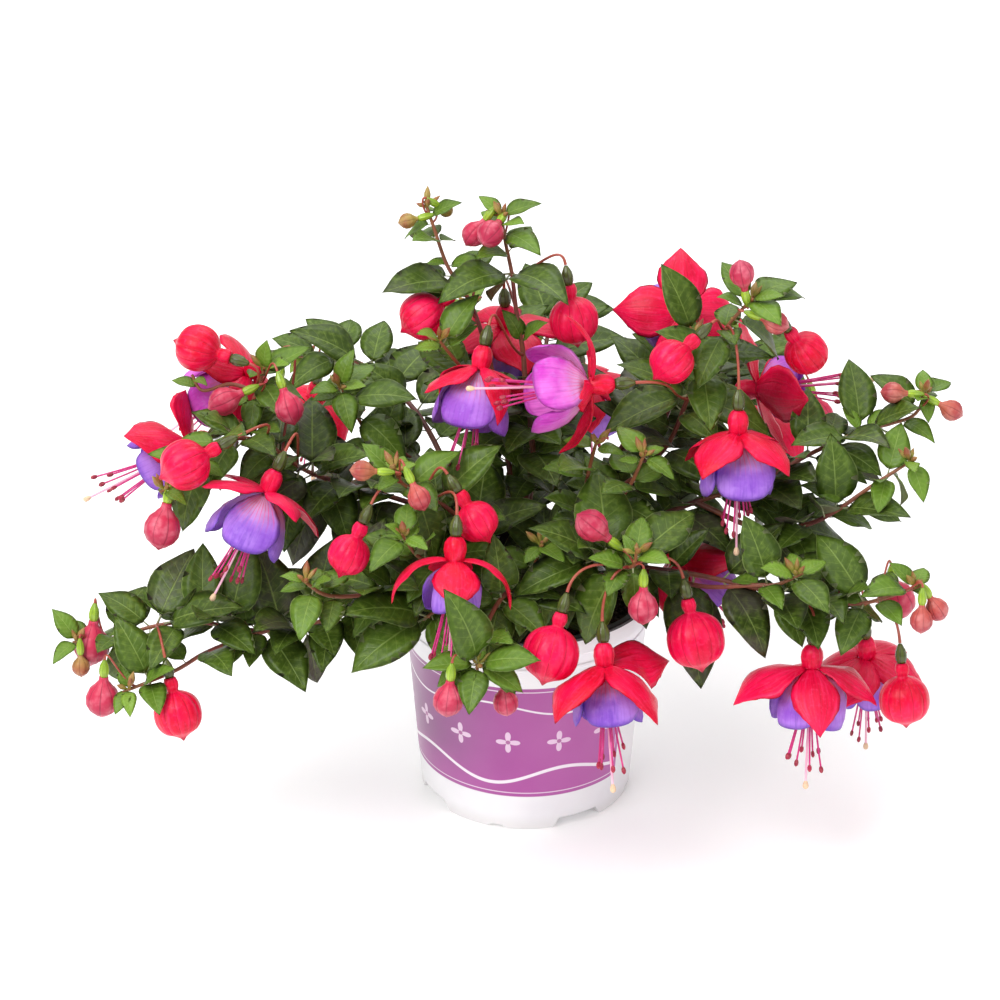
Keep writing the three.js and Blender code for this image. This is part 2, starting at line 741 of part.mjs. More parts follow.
// A leaf from its root inside the stem: a keeled blade with waved edges, in one ring less where it is plain.
function leafSolid(root, { along, across, upward }, length, waveTurn, isPlain, bladeOnly) {
  const form = leafForm;
  const centre = (share) =>
    root.clone()
      .addScaledVector(along, length * share)
      .addScaledVector(upward, length * form.arch * (4 * share * (1 - share) - share * 0.6));
  const ring = (share, halfWidth, keel, wave) => {
    const middle = centre(share);
    const lift = form.fold * halfWidth;
    return [
      middle.clone().addScaledVector(across, halfWidth).addScaledVector(upward, lift + wave),
      middle.clone().addScaledVector(across, -halfWidth).addScaledVector(upward, lift - wave),
      middle.clone().addScaledVector(upward, -keel),
    ];
  };
  const wave = form.wave * length * waveTurn;
  const blade = isPlain
    ? [ring(form.plainWide, form.halfWidth * length, form.thickness, wave)]
    : [
      ring(form.wide, form.halfWidth * length, form.thickness, wave),
      ring(form.narrowing, form.upperHalfWidth * length, form.thickness, -wave),
    ];
  return loft([
    ...(bladeOnly ? [] : [[root.clone().addScaledVector(along, -form.sunk)]]),
    ring(form.petiole, form.petioleRadius, form.petioleRadius, 0),
    ...blade,
    [centre(1)],
  ]);
}

// ---- Hanging parts: pedicel with its ovary, buds and blooms ----

// Samples from a stem to the seat of what hangs there, leaving outwards and arriving along the aim.
function pedicelRoute(start, seat, aim) {
  const reach = start.distanceTo(seat) * 0.45;
  const leave = seat.clone().sub(start).setZ(0).normalize().add(vector(0, 0, 0.5)).normalize();
  const curve = new THREE.CubicBezierCurve3(
    start, start.clone().addScaledVector(leave, reach), seat.clone().addScaledVector(aim, -reach), seat,
  );
  const route = [0, 0.35, 0.72, 1].map((t) => ({ point: curve.getPoint(t), along: curve.getTangent(t) }));
  route[0].point.addScaledVector(leave, -leafForm.sunk);
  return route;
}

function stalkWithOvary(samples, { end, aim, fromTip }) {
  const direction = vector(...aim).normalize();
  const ovaryTop = vector(...end).addScaledVector(direction, -pedicel.ovaryLength);
  const ovary = [0.5, 1].map((share) => ({
    point: ovaryTop.clone().addScaledVector(direction, pedicel.ovaryLength * share),
    along: direction,
  }));
  const stations = [...pedicelRoute(sampleAt(samples, fromTip).point, ovaryTop, direction), ...ovary];
  const radii = [0, pedicel.radius, pedicel.radius, 1.1, pedicel.ovaryRadius, pedicel.seat];
  return loft(ringsAlong(stations, radii, 3, 0.8));
}

// A half-grown bud in one body with its stalk: slim ovary, short tube and a pointed round bud.
function smallerBud(samples, item) {
  const direction = vector(...item.aim).normalize();
  const middle = vector(...item.end);
  const size = item.radius;
  const top = middle.clone().addScaledVector(direction, -size * 1.9);
  const start = sampleAt(samples, item.fromTip).point;
  const shares = [[-0.6, 0.86], [0.4, 0.86], [1.35, 0]];
  const stations = [
    ...pedicelRoute(start, top, direction).filter((_, index) => index !== 2),
    ...shares.map(([place]) => ({
      point: middle.clone().addScaledVector(direction, size * place),
      along: direction,
    })),
  ];
  const radii = [0, 0.7, Math.max(0.24 * size, 0.9), ...shares.map(([, radius]) => radius * size)];
  return loft(ringsAlong(stations, radii, 4));
}

function tinyBud(samples, heading, rise) {
  const { along } = leafFrame(heading, rise);
  const root = sampleAt(samples, tipBud.sunk).point;
  const stations = [0, 0.62, 1].map((share) => ({
    point: root.clone().addScaledVector(along, (tipBud.length + tipBud.sunk) * share),
    along,
  }));
  return loft(ringsAlong(stations, [0, tipBud.radius, 0], 3));
}

// Places a point of a bloom or bud that hangs down its own z axis from the ovary's end.
function hangingPlace({ end, aim, roll = 0 }) {
  const down = vector(...aim).normalize();
  const turn = new THREE.Quaternion().setFromUnitVectors(vector(0, 0, 1), down);
  const spin = new THREE.Quaternion().setFromAxisAngle(down, turned(roll));
  const origin = vector(...end);
  return (radius, azimuth, depth) =>
    vector(radius * Math.cos(azimuth), radius * Math.sin(azimuth), depth)
      .applyQuaternion(turn).applyQuaternion(spin).add(origin);
}

const roundRing = (place, radius, depth, sides, turn = 0) =>
  radius === 0
    ? [place(0, 0, depth)]
    : Array.from({ length: sides }, (_, side) => place(radius, (2 * Math.PI * side) / sides + turn, depth));

function fatBudSolid(item) {
  const place = hangingPlace(item);
  const neck = calyx.gap + fatBud.tubeLength;
  const ball = (share) => neck + fatBud.lengthOfBall * item.radius * share;
  const profile = [
    [fatBud.tubeRadius, calyx.gap], [fatBud.tubeRadius, neck],
    [0.74 * item.radius, ball(0.15)], [item.radius, ball(0.47)],
    [0.7 * item.radius, ball(0.85)], [0, ball(1) + fatBud.tipLength],
  ];
  return loft(profile.map(([radius, depth]) => roundRing(place, radius, depth, fatBud.sides)));
}

// A closed body of a hub with four blades on it. The hub's crown is a ring of eight: a saddle between two
// blades, then the top of a blade, and under it the blade's lower edge. A blade starts from its own four.
function bladedBody(cap, hubRings, saddles, tops, undersides, bottom, blades) {
  const positions = [];
  const indices = [];
  const add = (point) => positions.push(point.x, point.y, point.z) / 3 - 1;
  const addAll = (points) => points.map(add);
  const quad = (a, b, c, d) => indices.push(a, b, c, a, c, d);
  const crossQuad = (a, b, c, d) => indices.push(a, b, d, b, c, d);
  const start = add(cap);
  const ring = hubRings.map(addAll);
  const [saddle, top, under, end] = [addAll(saddles), addAll(tops), addAll(undersides), add(bottom)];
  ring[0].forEach((point, side) => indices.push(start, point, ring[0][(side + 1) % 4]));
  for (let k = 0; k + 1 < ring.length; k++) {
    for (let side = 0; side < 4; side++) {
      const next = (side + 1) % 4;
      quad(ring[k][side], ring[k + 1][side], ring[k + 1][next], ring[k][next]);
    }
  }
  const last = ring[ring.length - 1];
  blades.forEach((stations, side) => {
    const next = (side + 1) % 4;
    indices.push(last[side], top[side], last[next]);
    indices.push(last[side], saddle[side], top[side]);
    indices.push(last[next], top[side], saddle[next]);
    indices.push(end, under[side], saddle[side], end, saddle[next], under[side]);
    let low = [saddle[side], top[side], saddle[next], under[side]];
    stations.forEach((station) => {
      const high = addAll(station);
      if (high.length === 1) {
        for (let j = 0; j < 4; j++) indices.push(low[j], high[0], low[(j + 1) % 4]);
      } else {
        quad(low[0], high[0], high[1], low[1]);
        crossQuad(low[1], high[1], high[2], low[2]);
        quad(low[2], high[2], high[3], low[3]);
        crossQuad(low[3], high[3], high[0], low[0]);
      }
      low = high;
    });
    if (low.length === 4) quad(low[3], low[2], low[1], low[0]);
  });
  return solidOf(positions, indices);
}

const quarters = [0, 1, 2, 3];

// A tube with four sepals that leave it sideways and curl towards the corolla.
function calyxSolid(item) {
  const place = hangingPlace(item);
  const mouth = calyx.gap + calyx.tubeLength;
  const around = (radius, depth, turn) =>
    quarters.map((side) => place(radius, (side * Math.PI) / 2 + turn, depth));
  const shares = [[0.4, 1], [0.76, 0.74], [1, 0]];
  const sepals = quarters.map((side) => {
    let radius = 2.6;
    let depth = mouth - 1;
    let walked = 0;
    return shares.map(([share, width]) => {
      const lean = turned(item.spread - calyx.curl * (share + walked) * 0.5);
      const step = (share - walked) * (calyx.sepalLength - 2);
      radius += step * Math.sin(lean);
      depth += step * Math.cos(lean);
      walked = share;
      return sepalStation(place, (side * Math.PI) / 2, radius, depth, width * calyx.sepalHalfWidth, lean);
    });
  });
  return bladedBody(
    place(0, 0, calyx.gap),
    [
      around(calyx.neckRadius, calyx.gap, -Math.PI / 4),
      around(calyx.bellyRadius, calyx.gap + 0.5 * calyx.tubeLength, -Math.PI / 4),
    ],
    around(calyx.mouthRadius, mouth - 1, -Math.PI / 4),
    around(calyx.mouthRadius - 0.4, mouth - 2, 0),
    around(calyx.mouthRadius - 0.8, mouth, 0),
    place(0, 0, mouth),
    sepals,
  );
}

// One ring of a sepal, whose edges lie nearer the corolla than its middle; a point where it has no width.
function sepalStation(place, azimuth, radius, depth, halfWidth, lean) {
  if (halfWidth === 0) return [place(radius, azimuth, depth)];
  const half = calyx.thickness / 2;
  const outward = [Math.cos(lean), -Math.sin(lean)];
  const dome = 0.2 * halfWidth;
  const edgeRadius = radius - outward[0] * dome;
  const edge = Math.atan2(halfWidth, edgeRadius);
  const reach = Math.hypot(halfWidth, edgeRadius);
  return [
    place(reach, azimuth - edge, depth - outward[1] * dome),
    place(radius + outward[0] * half, azimuth, depth + outward[1] * half),
    place(reach, azimuth + edge, depth - outward[1] * dome),
    place(radius - outward[0] * half, azimuth, depth - outward[1] * half),
  ];
}

// Four broad petals, each with one edge outside its neighbour, round a core drawn out into the pistil.
function corollaSolid(item) {
  const place = hangingPlace({ ...item, roll: item.roll + corolla.turn });
  const top = calyx.gap + calyx.tubeLength + corolla.gap;
  const around = (radius, depth, turn) =>
    quarters.map((side) => place(radius, (side * Math.PI) / 2 + turn, depth));
  const wide = corolla.mouthRadius * item.flare;
  const half = corolla.thickness / 2;
  const petals = quarters.map((side) =>
    [[0.84, 0.45, 46, 0], [1, 1, 50, 2.5]].map(([share, reach, span, scallop]) => {
      const azimuth = (side * Math.PI) / 2;
      const radius = wide * share;
      const depth = top + reach * corolla.length;
      return [
        place(radius + corolla.overlap, azimuth - turned(span), depth - scallop),
        place(radius + half, azimuth, depth),
        place(radius - corolla.overlap, azimuth + turned(span), depth - scallop),
        place(radius - half, azimuth, depth),
      ];
    }),
  );
  const hub = bladedBody(
    place(0, 0, top),
    [around(corolla.coreRadius, top, -Math.PI / 4)],
    around(corolla.coreRadius, top + 2, -Math.PI / 4),
    around(corolla.coreRadius, top + 1.2, 0),
    around(corolla.coreRadius - 0.4, top + 3.4, 0),
    place(0.6, 0.6, top + corolla.pistilLength),
    petals,
  );
  const filaments = Array.from({ length: corolla.filaments }, (_, index) => {
    const azimuth = Math.PI * index + 0.3;
    const reach = corolla.filamentLength - 4 * index;
    const stations = [0, 0.94, 1].map((share) => ({
      point: place(6 * share, azimuth, top + 3 + (reach - 3) * share),
      along: place(6, azimuth, reach).sub(place(0, azimuth, 0)).normalize(),
    }));
    return loft(ringsAlong(stations, [corolla.filamentRadius * 0.8, corolla.filamentRadius * 1.5, 0], 3));
  });
  return wasm.Manifold.union([hub, ...filaments]);
}

// ---- Pot and soil ----

function potSolid() {
  const { rimRadius, rimDepth, height, wall } = pot;
  const rimInner = pot.shoulderRadius - wall;
  const lipEdge = height - 0.6;
  const profile = [
    [0, 0], [pot.padRadius, 0], [pot.channelInner, pot.channelDepth], [pot.channelOuter, pot.channelDepth],
    [pot.channelOuter + 2, 0], [pot.footRadius, 0], [pot.shoulderRadius, height - rimDepth],
    [rimRadius, height - rimDepth], [rimRadius, lipEdge], [rimRadius - 0.6, height], [rimInner, height],
    [pot.footRadius - 2.2, pot.floorTop], [0, pot.floorTop],
  ];
  const cutters = [];
  const outOfFoot = pot.footRadius + 2;
  footNotches.forEach(({ width, height: notchHeight, angles }) =>
    angles.forEach((angle) => {
      const shape = new THREE.Shape();
      shape.moveTo(-width / 2, -1);
      shape.lineTo(width / 2, -1);
      shape.lineTo(width / 2 - 3, notchHeight);
      shape.lineTo(3 - width / 2, notchHeight);
      const depth = outOfFoot - pot.channelOuter + 1;
      const block = new THREE.ExtrudeGeometry(shape, { depth, bevelEnabled: false });
      block.rotateX(Math.PI / 2).translate(0, -(pot.channelOuter - 1), 0).rotateZ(turned(angle));
      cutters.push(fromGeometry(block));
    }),
  );
  for (let hole = 0; hole < pot.drainHoles; hole++) {
    const angle = (2 * Math.PI * hole) / pot.drainHoles;
    const drill = new THREE.CylinderGeometry(pot.drainHoleRadius, pot.drainHoleRadius, 6, 8);
    drill.rotateX(Math.PI / 2);
    drill.translate(pot.drainHoleRing * Math.cos(angle), pot.drainHoleRing * Math.sin(angle), pot.floorTop - 0.8);
    cutters.push(fromGeometry(drill));
  }
  return turnedBody(profile, pot.sides).subtract(wasm.Manifold.union(cutters));
}

function soilSolid() {
  const low = pot.floorTop + soil.clearance;
  const innerRadius = (height) => {
    const share = (height - pot.floorTop) / (pot.height - pot.floorTop);
    const lower = pot.footRadius - 2.2;
    return lower + (pot.shoulderRadius - pot.wall - lower) * share - soil.clearance;
  };
  const ring = (fraction, height, bump) =>
    Array.from({ length: soil.sides }, (_, side) => {
      const angle = (2 * Math.PI * (side + 0.5)) / soil.sides - Math.PI / soil.sides;
      const radius = innerRadius(height) * fraction;
      const lift = bump * (draw(side, Math.round(fraction * 100)) - 0.5) * 2;
      return vector(radius * Math.sin(angle), -radius * Math.cos(angle), height + lift);
    });
  const body = loft([
    [vector(0, 0, low)],
    ring(1, low, 0),
    ring(1, soil.top, 0),
    ring(soil.ringFraction, soil.top + soil.dome / 2, soil.bump),
    [vector(0, 0, soil.top + soil.dome)],
  ]);
  const holes = shoots.map(({ stems }) => {
    const [x, y, z] = stems[0].points[0];
    const hole = new THREE.CylinderGeometry(stem.holeRadius, stem.holeRadius, 40, 6);
    return fromGeometry(hole.rotateX(Math.PI / 2).translate(x, y, z - soil.clearance + 20));
  });
  return body.subtract(wasm.Manifold.union(holes));
}

// ---- Putting the plant together ----

const placed = [];

function keep(solid, shootIndex, stemIndex) {
  placed.push({ solid, box: solid.boundingBox(), shootIndex, stemIndex });
  return solid;
}

const apart = (a, b, gap) => [0, 1, 2].some((i) => a.min[i] > b.max[i] + gap || b.min[i] > a.max[i] + gap);

// True where a blade keeps its distance from everything but the stem it grows on.
function isClear(blade, shootIndex, stemIndex) {
  const box = blade.boundingBox();
  return placed.every((other) => {
    if (other.shootIndex === shootIndex && other.stemIndex === stemIndex) return true;
    if (apart(box, other.box, leafRule.clearance)) return true;
    return blade.minGap(other.solid, leafRule.clearance * 2) >= leafRule.clearance;
  });
}

// The first of several slightly turned copies of a leaf that is clear; none where the foliage is full.
function growLeaf(samples, [fromTip, heading, rise, length, isRule], shootIndex, stemIndex, leafIndex) {
  const seat = sampleAt(samples, fromTip);
  const shift = draw(shootIndex, stemIndex, leafIndex, 5) - 0.5;
  const root = seat.point.clone().addScaledVector(seat.along, shift);
  const isPlain = isRule || length < leafForm.plainBelow;
  const waveTurn = leafIndex % 2 === 0 ? 1 : -1;
  for (let attempt = 0; attempt < leafRule.tries; attempt++) {
    const sway = (key) => attempt * (draw(shootIndex * 7 + stemIndex, leafIndex, attempt, key) - 0.5) * 2;
    const frame = leafFrame(heading + leafRule.turnStep * sway(1), rise + leafRule.riseStep * sway(2));
    const size = length * (1 - leafRule.shrink * attempt * 0.7);
    if (isClear(leafSolid(root, frame, size, waveTurn, isPlain, true), shootIndex, stemIndex)) {
      return keep(leafSolid(root, frame, size, waveTurn, isPlain, false), shootIndex, -1 - leafIndex);
    }
  }
  return null;
}

// Opposite pairs, each turned a quarter from the last, leaning towards the tip.
function ruleLeaves(samples, { rule }) {
  if (!rule) return [];
  const [ruleFrom, firstTurn] = rule;
  const found = [];
  pairRule.forEach(({ fromTip, length }, pair) => {
    if (fromTip < ruleFrom || fromTip > samples[0].fromTip - 24) return;
    const { along } = sampleAt(samples, fromTip);
    const forward = Math.atan2(along.y, along.x);
    [0, 1].forEach((side) => {
      const turn = turned(firstTurn + 90 * pair + 180 * side);
      const level = vector(Math.cos(forward + Math.PI / 2), Math.sin(forward + Math.PI / 2), 0);
      const lifted = along.clone().cross(level).negate();
      const out = level.multiplyScalar(Math.cos(turn)).addScaledVector(lifted, Math.sin(turn));
      out.addScaledVector(along, 0.45);
      const heading = THREE.MathUtils.radToDeg(Math.atan2(out.y, out.x));
      const steep = THREE.MathUtils.radToDeg(Math.asin(out.z / out.length()));
      const rise = THREE.MathUtils.clamp(steep * 0.6, -35, 45);
      found.push([fromTip, heading, rise, length * (0.9 + 0.2 * draw(pair, side, firstTurn)), true]);
    });
  });
  return found;
}

const colours = {
  pot: new THREE.MeshStandardMaterial({ color: "#f2f2f0", roughness: 0.4, metalness: 0 }),
  soil: new THREE.MeshStandardMaterial({ color: "#2b1d16", roughness: 0.95, metalness: 0 }),
  shoot: new THREE.MeshStandardMaterial({ color: "#3f6b33", roughness: 0.55, metalness: 0 }),
  calyx: new THREE.MeshStandardMaterial({ color: "#dc1639", roughness: 0.4, metalness: 0 }),
  corolla: new THREE.MeshStandardMaterial({ color: "#8450bc", roughness: 0.5, metalness: 0 }),
  bud: new THREE.MeshStandardMaterial({ color: "#d81f41", roughness: 0.4, metalness: 0 }),
};

const plant = new THREE.Group();
plant.add(meshOf(keep(potSolid(), -1, 0), "pot", colours.pot));
plant.add(meshOf(keep(soilSolid(), -2, 0), "soil", colours.soil));

const bodies = shoots.map((shoot, shootIndex) => {
  const routes = shoot.stems.map(({ points }, stemIndex) => routeOf(points, stemIndex > 0));
  const joined = routes.map((samples, stemIndex) => keep(stemBody(samples, stemIndex), shootIndex, stemIndex));
  [...(shoot.blooms ?? []), ...(shoot.fatBuds ?? [])].forEach((item) =>
    joined.push(keep(stalkWithOvary(routes[item.stem], item), shootIndex, 90)),
  );
  (shoot.buds ?? []).forEach((item) => joined.push(keep(smallerBud(routes[item.stem], item), shootIndex, 91)));
  shoot.stems.forEach(({ tipBuds }, stemIndex) => {
    for (let index = 0; index < tipBuds; index++) {
      const heading = (360 * index) / tipBuds + 360 * draw(shootIndex, stemIndex, 7);
      const rise = 35 + 40 * draw(shootIndex, stemIndex, index, 8);
      joined.push(keep(tinyBud(routes[stemIndex], heading, rise), shootIndex, 92));
    }
  });
  return { routes, joined };
});

shoots.forEach(({ blooms = [], fatBuds = [] }, shootIndex) => {
  blooms.forEach((item) => {
    plant.add(meshOf(keep(calyxSolid(item), 100 + shootIndex, 0), item.name + "_calyx", colours.calyx));
    plant.add(meshOf(keep(corollaSolid(item), 200 + shootIndex, 0), item.name + "_corolla", colours.corolla));
  });
  fatBuds.forEach((item) => plant.add(meshOf(keep(fatBudSolid(item), 300, 0), item.name, colours.bud)));
});

// Leaves with a place of their own first, then the pairs that fill the shoots by rule.
[({ leaves = [] }) => leaves, (stemPlan, samples) => ruleLeaves(samples, stemPlan)].forEach((leavesOf, round) =>
  shoots.forEach(({ stems }, shootIndex) =>
    stems.forEach((stemPlan, stemIndex) => {
      const samples = bodies[shootIndex].routes[stemIndex];
      leavesOf(stemPlan, samples).forEach((leaf, leafIndex) => {
        const grown = growLeaf(samples, leaf, shootIndex, stemIndex, leafIndex + 40 * round);
        if (grown) bodies[shootIndex].joined.push(grown);
      });
    }),
  ),
);

shoots.forEach(({ name }, shootIndex) =>
  plant.add(meshOf(wasm.Manifold.union(bodies[shootIndex].joined), name, colours.shoot)),
);

export default plant;
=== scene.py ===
from math import asin, atan2, cos, degrees, exp, floor, hypot, pi, radians, sin, sqrt

import bmesh
import bpy
from mathutils import Matrix, Quaternion, Vector
from mathutils.kdtree import KDTree


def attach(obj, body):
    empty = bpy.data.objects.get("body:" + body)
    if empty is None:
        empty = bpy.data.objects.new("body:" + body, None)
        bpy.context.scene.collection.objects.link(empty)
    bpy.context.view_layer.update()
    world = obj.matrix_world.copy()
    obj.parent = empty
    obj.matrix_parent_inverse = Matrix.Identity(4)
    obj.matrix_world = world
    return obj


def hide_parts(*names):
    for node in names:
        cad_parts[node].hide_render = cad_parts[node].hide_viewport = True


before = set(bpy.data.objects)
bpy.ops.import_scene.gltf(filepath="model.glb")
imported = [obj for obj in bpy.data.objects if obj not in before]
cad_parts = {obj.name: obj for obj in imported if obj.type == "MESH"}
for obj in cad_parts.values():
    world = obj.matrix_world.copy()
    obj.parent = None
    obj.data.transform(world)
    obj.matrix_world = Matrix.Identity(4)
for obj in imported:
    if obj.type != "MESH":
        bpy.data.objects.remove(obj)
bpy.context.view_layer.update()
scene = bpy.context.scene

# A bloom, unless its own row says otherwise. Rows of four are its sepals: how much more they spread, how far
# they curl, then width, length and twist.
usualBloom = {
    "flare": 1, "turn": 0, "lean": (0, 0, 0, 0), "curl": (54, 54, 54, 54), "wide": (1, 1, 1, 1),
    "long": (1, 1, 1, 1), "twist": (0, 0, 0, 0), "skirt": 1, "petalTone": None, "petalWidth": 1,
}
shoots = []


def shoot(name):
    shoots.append({"name": name, "stems": [], "blooms": [], "fatBuds": [], "buds": []})


# Points from root to tip. Leaves are (distance from the tip, heading, rise, length), and rule is where the
# pairs by rule begin and their first turn. A root gives the upright foot of the stem in the soil.
def stem(points, root=None, rule=None, tipBuds=1, leaves=(), young=()):
    foot = [(*root, height) for height in (68, 84, 99)] if root else []
    shoots[-1]["stems"].append({
        "points": foot + points, "isFork": not root, "rule": rule, "tipBuds": tipBuds,
        "leaves": leaves, "young": young,
    })


# What hangs on a stem: which stem, how far from its tip, where the ovary ends, and the way it points.
def bloom(name, stemIndex, fromTip, end, aim, roll, spread, **ownManner):
    shoots[-1]["blooms"].append({
        **usualBloom, "name": name, "stem": stemIndex, "fromTip": fromTip, "end": end, "aim": aim,
        "roll": roll, "spread": spread, **ownManner,
    })


def bud(stemIndex, fromTip, end, aim, radius, name=None):
    item = {"name": name, "stem": stemIndex, "fromTip": fromTip, "end": end, "aim": aim, "radius": radius}
    shoots[-1]["fatBuds" if name else "buds"].append(item)


def fatBud(name, *place):
    bud(*place, name=name)


shoot("shoot_left_low")
stem([(-24, -20, 122), (-52, -34, 127), (-89, -46, 110), (-117, -54, 108), (-147, -60, 116),
    (-165, -62, 115), (-184, -66, 111), (-201, -70, 111)], root=(-14, -12), rule=(125, 20),
    leaves=[(2, 155, 50, 19), (0, 230, -10, 16), (20, 75, 20, 34), (37, 60, 40, 40), (40, 350, 20, 40),
    (6, 310, -5, 18), (63, 315, -5, 30), (71, 40, 0, 28), (87, 305, -25, 36), (105, 55, -80, 34),
    (112, 285, 0, 30), (17, 50, -80, 26)], young=[(80, 110, 50, 28), (100, 125, 52, 33), (124, 96, 58, 36),
    (124, 172, 46, 32), (150, 135, 52, 34), (72, 62, 60, 42), (94, 128, 66, 42), (110, 66, 56, 40),
    (58, 96, 58, 36), (134, 60, 60, 40)])
stem([(-117, -54, 108), (-130, -61, 107), (-144, -68, 104), (-156, -76, 100), (-178, -86, 95)],
    leaves=[(13, 140, 55, 33), (31, 135, 15, 20), (42, 330, 20, 36), (10, 330, 35, 22), (0, 205, 10, 20),
    (13, 285, -30, 28)], young=[(0, 125, 60, 13), (0, 275, -25, 14)])
fatBud("bud_left_low", 0, 38, (-157, -85, 102), (0.2, -0.3, -0.93), 10.7)
bud(0, 16, (-193, -66, 109), (-0.1, -0.2, -0.95), 8)
bud(1, 5, (-187, -84, 92), (-0.1, -0.1, -1), 7.5)
bud(0, 9, (-197, -76, 103), (0, -0.2, -1), 4)

shoot("shoot_left_high")
stem([(-36, 4, 134), (-70, 2, 150), (-98, 0, 160), (-117, -2, 176), (-126, -2, 188), (-122, 2, 200),
    (-117, 6, 213)], root=(-18, 4), rule=(64, 60), leaves=[(5, 15, 25, 25), (4, 320, 25, 18),
    (2, 295, 75, 16), (16, 240, -25, 22), (35, 330, -25, 34), (9, 300, -20, 26), (13, 35, -20, 30),
    (68, 335, 30, 34)], young=[(52, 205, -48, 36), (62, 252, -55, 40), (76, 218, -60, 44),
    (76, 300, -46, 33), (92, 246, -60, 42)])
stem([(-122, 2, 200), (-134, 6, 202), (-147, 8, 198), (-152, 12, 204)], tipBuds=0, young=[(7, 160, 10, 14),
    (0, 310, 5, 10)])
stem([(-117, -2, 176), (-127, -24, 189), (-137, -40, 193), (-152, -54, 183), (-160, -58, 179)],
    leaves=[(6, 215, -45, 19)], young=[(2, 320, -10, 14), (26, 214, -66, 38), (30, 196, -62, 28),
    (56, 150, -58, 36)])
bloom("bloom_left_edge", 2, 50, (-143, -6, 182), (-0.85, -0.2, -0.42), 20, 88, turn=-30,
    lean=(-28, 26, 0, 0), curl=(28, 14, 54, 34), wide=(1.2, 1.1, 1, 1.15), long=(1.05, 1, 1, 1.15),
    skirt=0.88, petalWidth=0.94)
bloom("bloom_left_front", 0, 62, (-110, -46, 184), (-0.42, -0.35, -0.83), 40, 82, flare=1.05,
    lean=(14, 10, 16, 32), curl=(34, 26, 50, 70), wide=(0.66, 0.6, 0.66, 0.84), long=(1.12, 1, 1.3, 0.78),
    petalWidth=0.9)
bloom("bloom_left_rear", 0, 52, (-120, 25, 205), (-0.6, 0.1, -0.5), 50, 95, petalTone=0.9)
fatBud("bud_left_top", 0, 15, (-132, -4, 219), (-0.85, 0.3, 0.15), 10.5)
fatBud("bud_left_middle", 0, 42, (-133, -58, 201), (-0.85, -0.35, -0.35), 11)
bud(2, 10, (-159, -62, 165), (-0.2, -0.3, -0.95), 8)
bud(0, 17, (-134, -14, 203), (-0.85, -0.3, -0.3), 6.5)
bud(0, 10, (-106, -20, 203), (0.3, -0.4, -0.85), 6.5)

shoot("shoot_back_left")
stem([(-30, 22, 136), (-56, 24, 158), (-72, 24, 168), (-79, 26, 178), (-87, 28, 192)], root=(-14, 18),
    rule=(47, 110), leaves=[(0, 20, 70, 20), (0, 215, 10, 17), (2, 285, -30, 24), (2, 50, 15, 24),
    (8, 345, 10, 34), (16, 330, -30, 34), (31, 65, 15, 30)], young=[(0, 340, 15, 14)])
stem([(-30, 22, 136), (-52, 55, 166), (-82, 88, 178), (-112, 112, 170)], rule=(0, 30))
bloom("bloom_back_left", 1, 22, (-104, 126, 150), (-0.1, 0.25, -0.95), 15, 84)
bud(1, 8, (-124, 108, 150), (-0.3, -0.1, -0.95), 7)

shoot("shoot_front_left")
stem([(-18, -32, 136), (-34, -48, 165), (-47, -58, 178), (-55, -64, 187), (-58, -66, 196)], root=(-8, -20),
    rule=(47, 70), leaves=[(10, 160, 40, 24), (16, 35, 20, 30), (14, 330, 15, 30), (35, 20, 35, 42),
    (19, 305, -55, 32)], young=[(4, 135, 40, 10), (4, 10, 20, 10)])
stem([(-18, -32, 136), (-32, -58, 146), (-46, -80, 158), (-54, -92, 176)], rule=(18, 20),
    leaves=[(0, 230, -15, 24), (0, 85, 30, 20)], young=[(0, 320, -5, 14), (0, 205, 45, 12)])
stem([(-14, -28, 124), (-36, -54, 134), (-65, -72, 137), (-86, -84, 142), (-97, -90, 153)], rule=(31, 80),
    leaves=[(8, 255, -30, 26), (0, 45, -5, 16), (10, 65, 10, 24)], young=[(2, 195, 25, 12)])
bloom("bloom_front_left", 0, 30, (-31, -92, 175), (-0.05, -0.35, -0.93), 45, 92, flare=0.8, turn=-68,
    lean=(10, -36, 10, 0), curl=(112, 40, 112, 60), wide=(0.64, 0.86, 0.64, 0.8), long=(1.14, 0.78, 1.14, 1),
    skirt=0.8)
fatBud("bud_front_left", 0, 10, (-71, -80, 175), (-0.4, -0.3, -0.85), 9)
fatBud("bud_front_middle", 0, 22, (-30, -74, 187), (0.5, -0.3, -0.75), 9)
bud(0, 6, (-70, -76, 198), (-0.95, -0.1, 0.1), 4.5)
bud(0, 8, (-47, -84, 190), (0.4, -0.3, -0.85), 5)

shoot("shoot_tall_pair")
stem([(-7, 8, 150), (-14, 6, 200), (-22, 8, 231), (-28, 14, 243), (-36, 20, 254), (-42, 26, 270),
    (-46, 30, 281)], root=(-2, 8), rule=(82, 40), leaves=[(11, 185, 10, 25), (6, 10, 15, 24),
    (19, 115, -10, 28), (30, 335, 15, 20), (40, 195, -20, 46)], young=[(30, 140, -10, 14)])
stem([(-4, 8, 126), (2, 2, 160), (2, -4, 182), (-1, 0, 207), (-2, 4, 219), (-5, 8, 237), (-7, 12, 253),
    (-10, 14, 268), (-12, 16, 282)], rule=(82, 75), leaves=[(2, 205, 5, 18), (2, 5, 20, 19),
    (11, 150, -10, 26), (11, 315, -5, 24), (30, 215, 0, 40), (30, 325, 5, 48), (61, 170, 65, 18),
    (61, 330, 45, 18), (32, 125, -40, 24)])
stem([(-12, 7, 186), (-21, -4, 204), (-31, -12, 220), (-40, -16, 234)], rule=(18, 10),
    leaves=[(4, 30, 50, 28), (2, 225, 35, 16), (6, 15, 30, 18)])
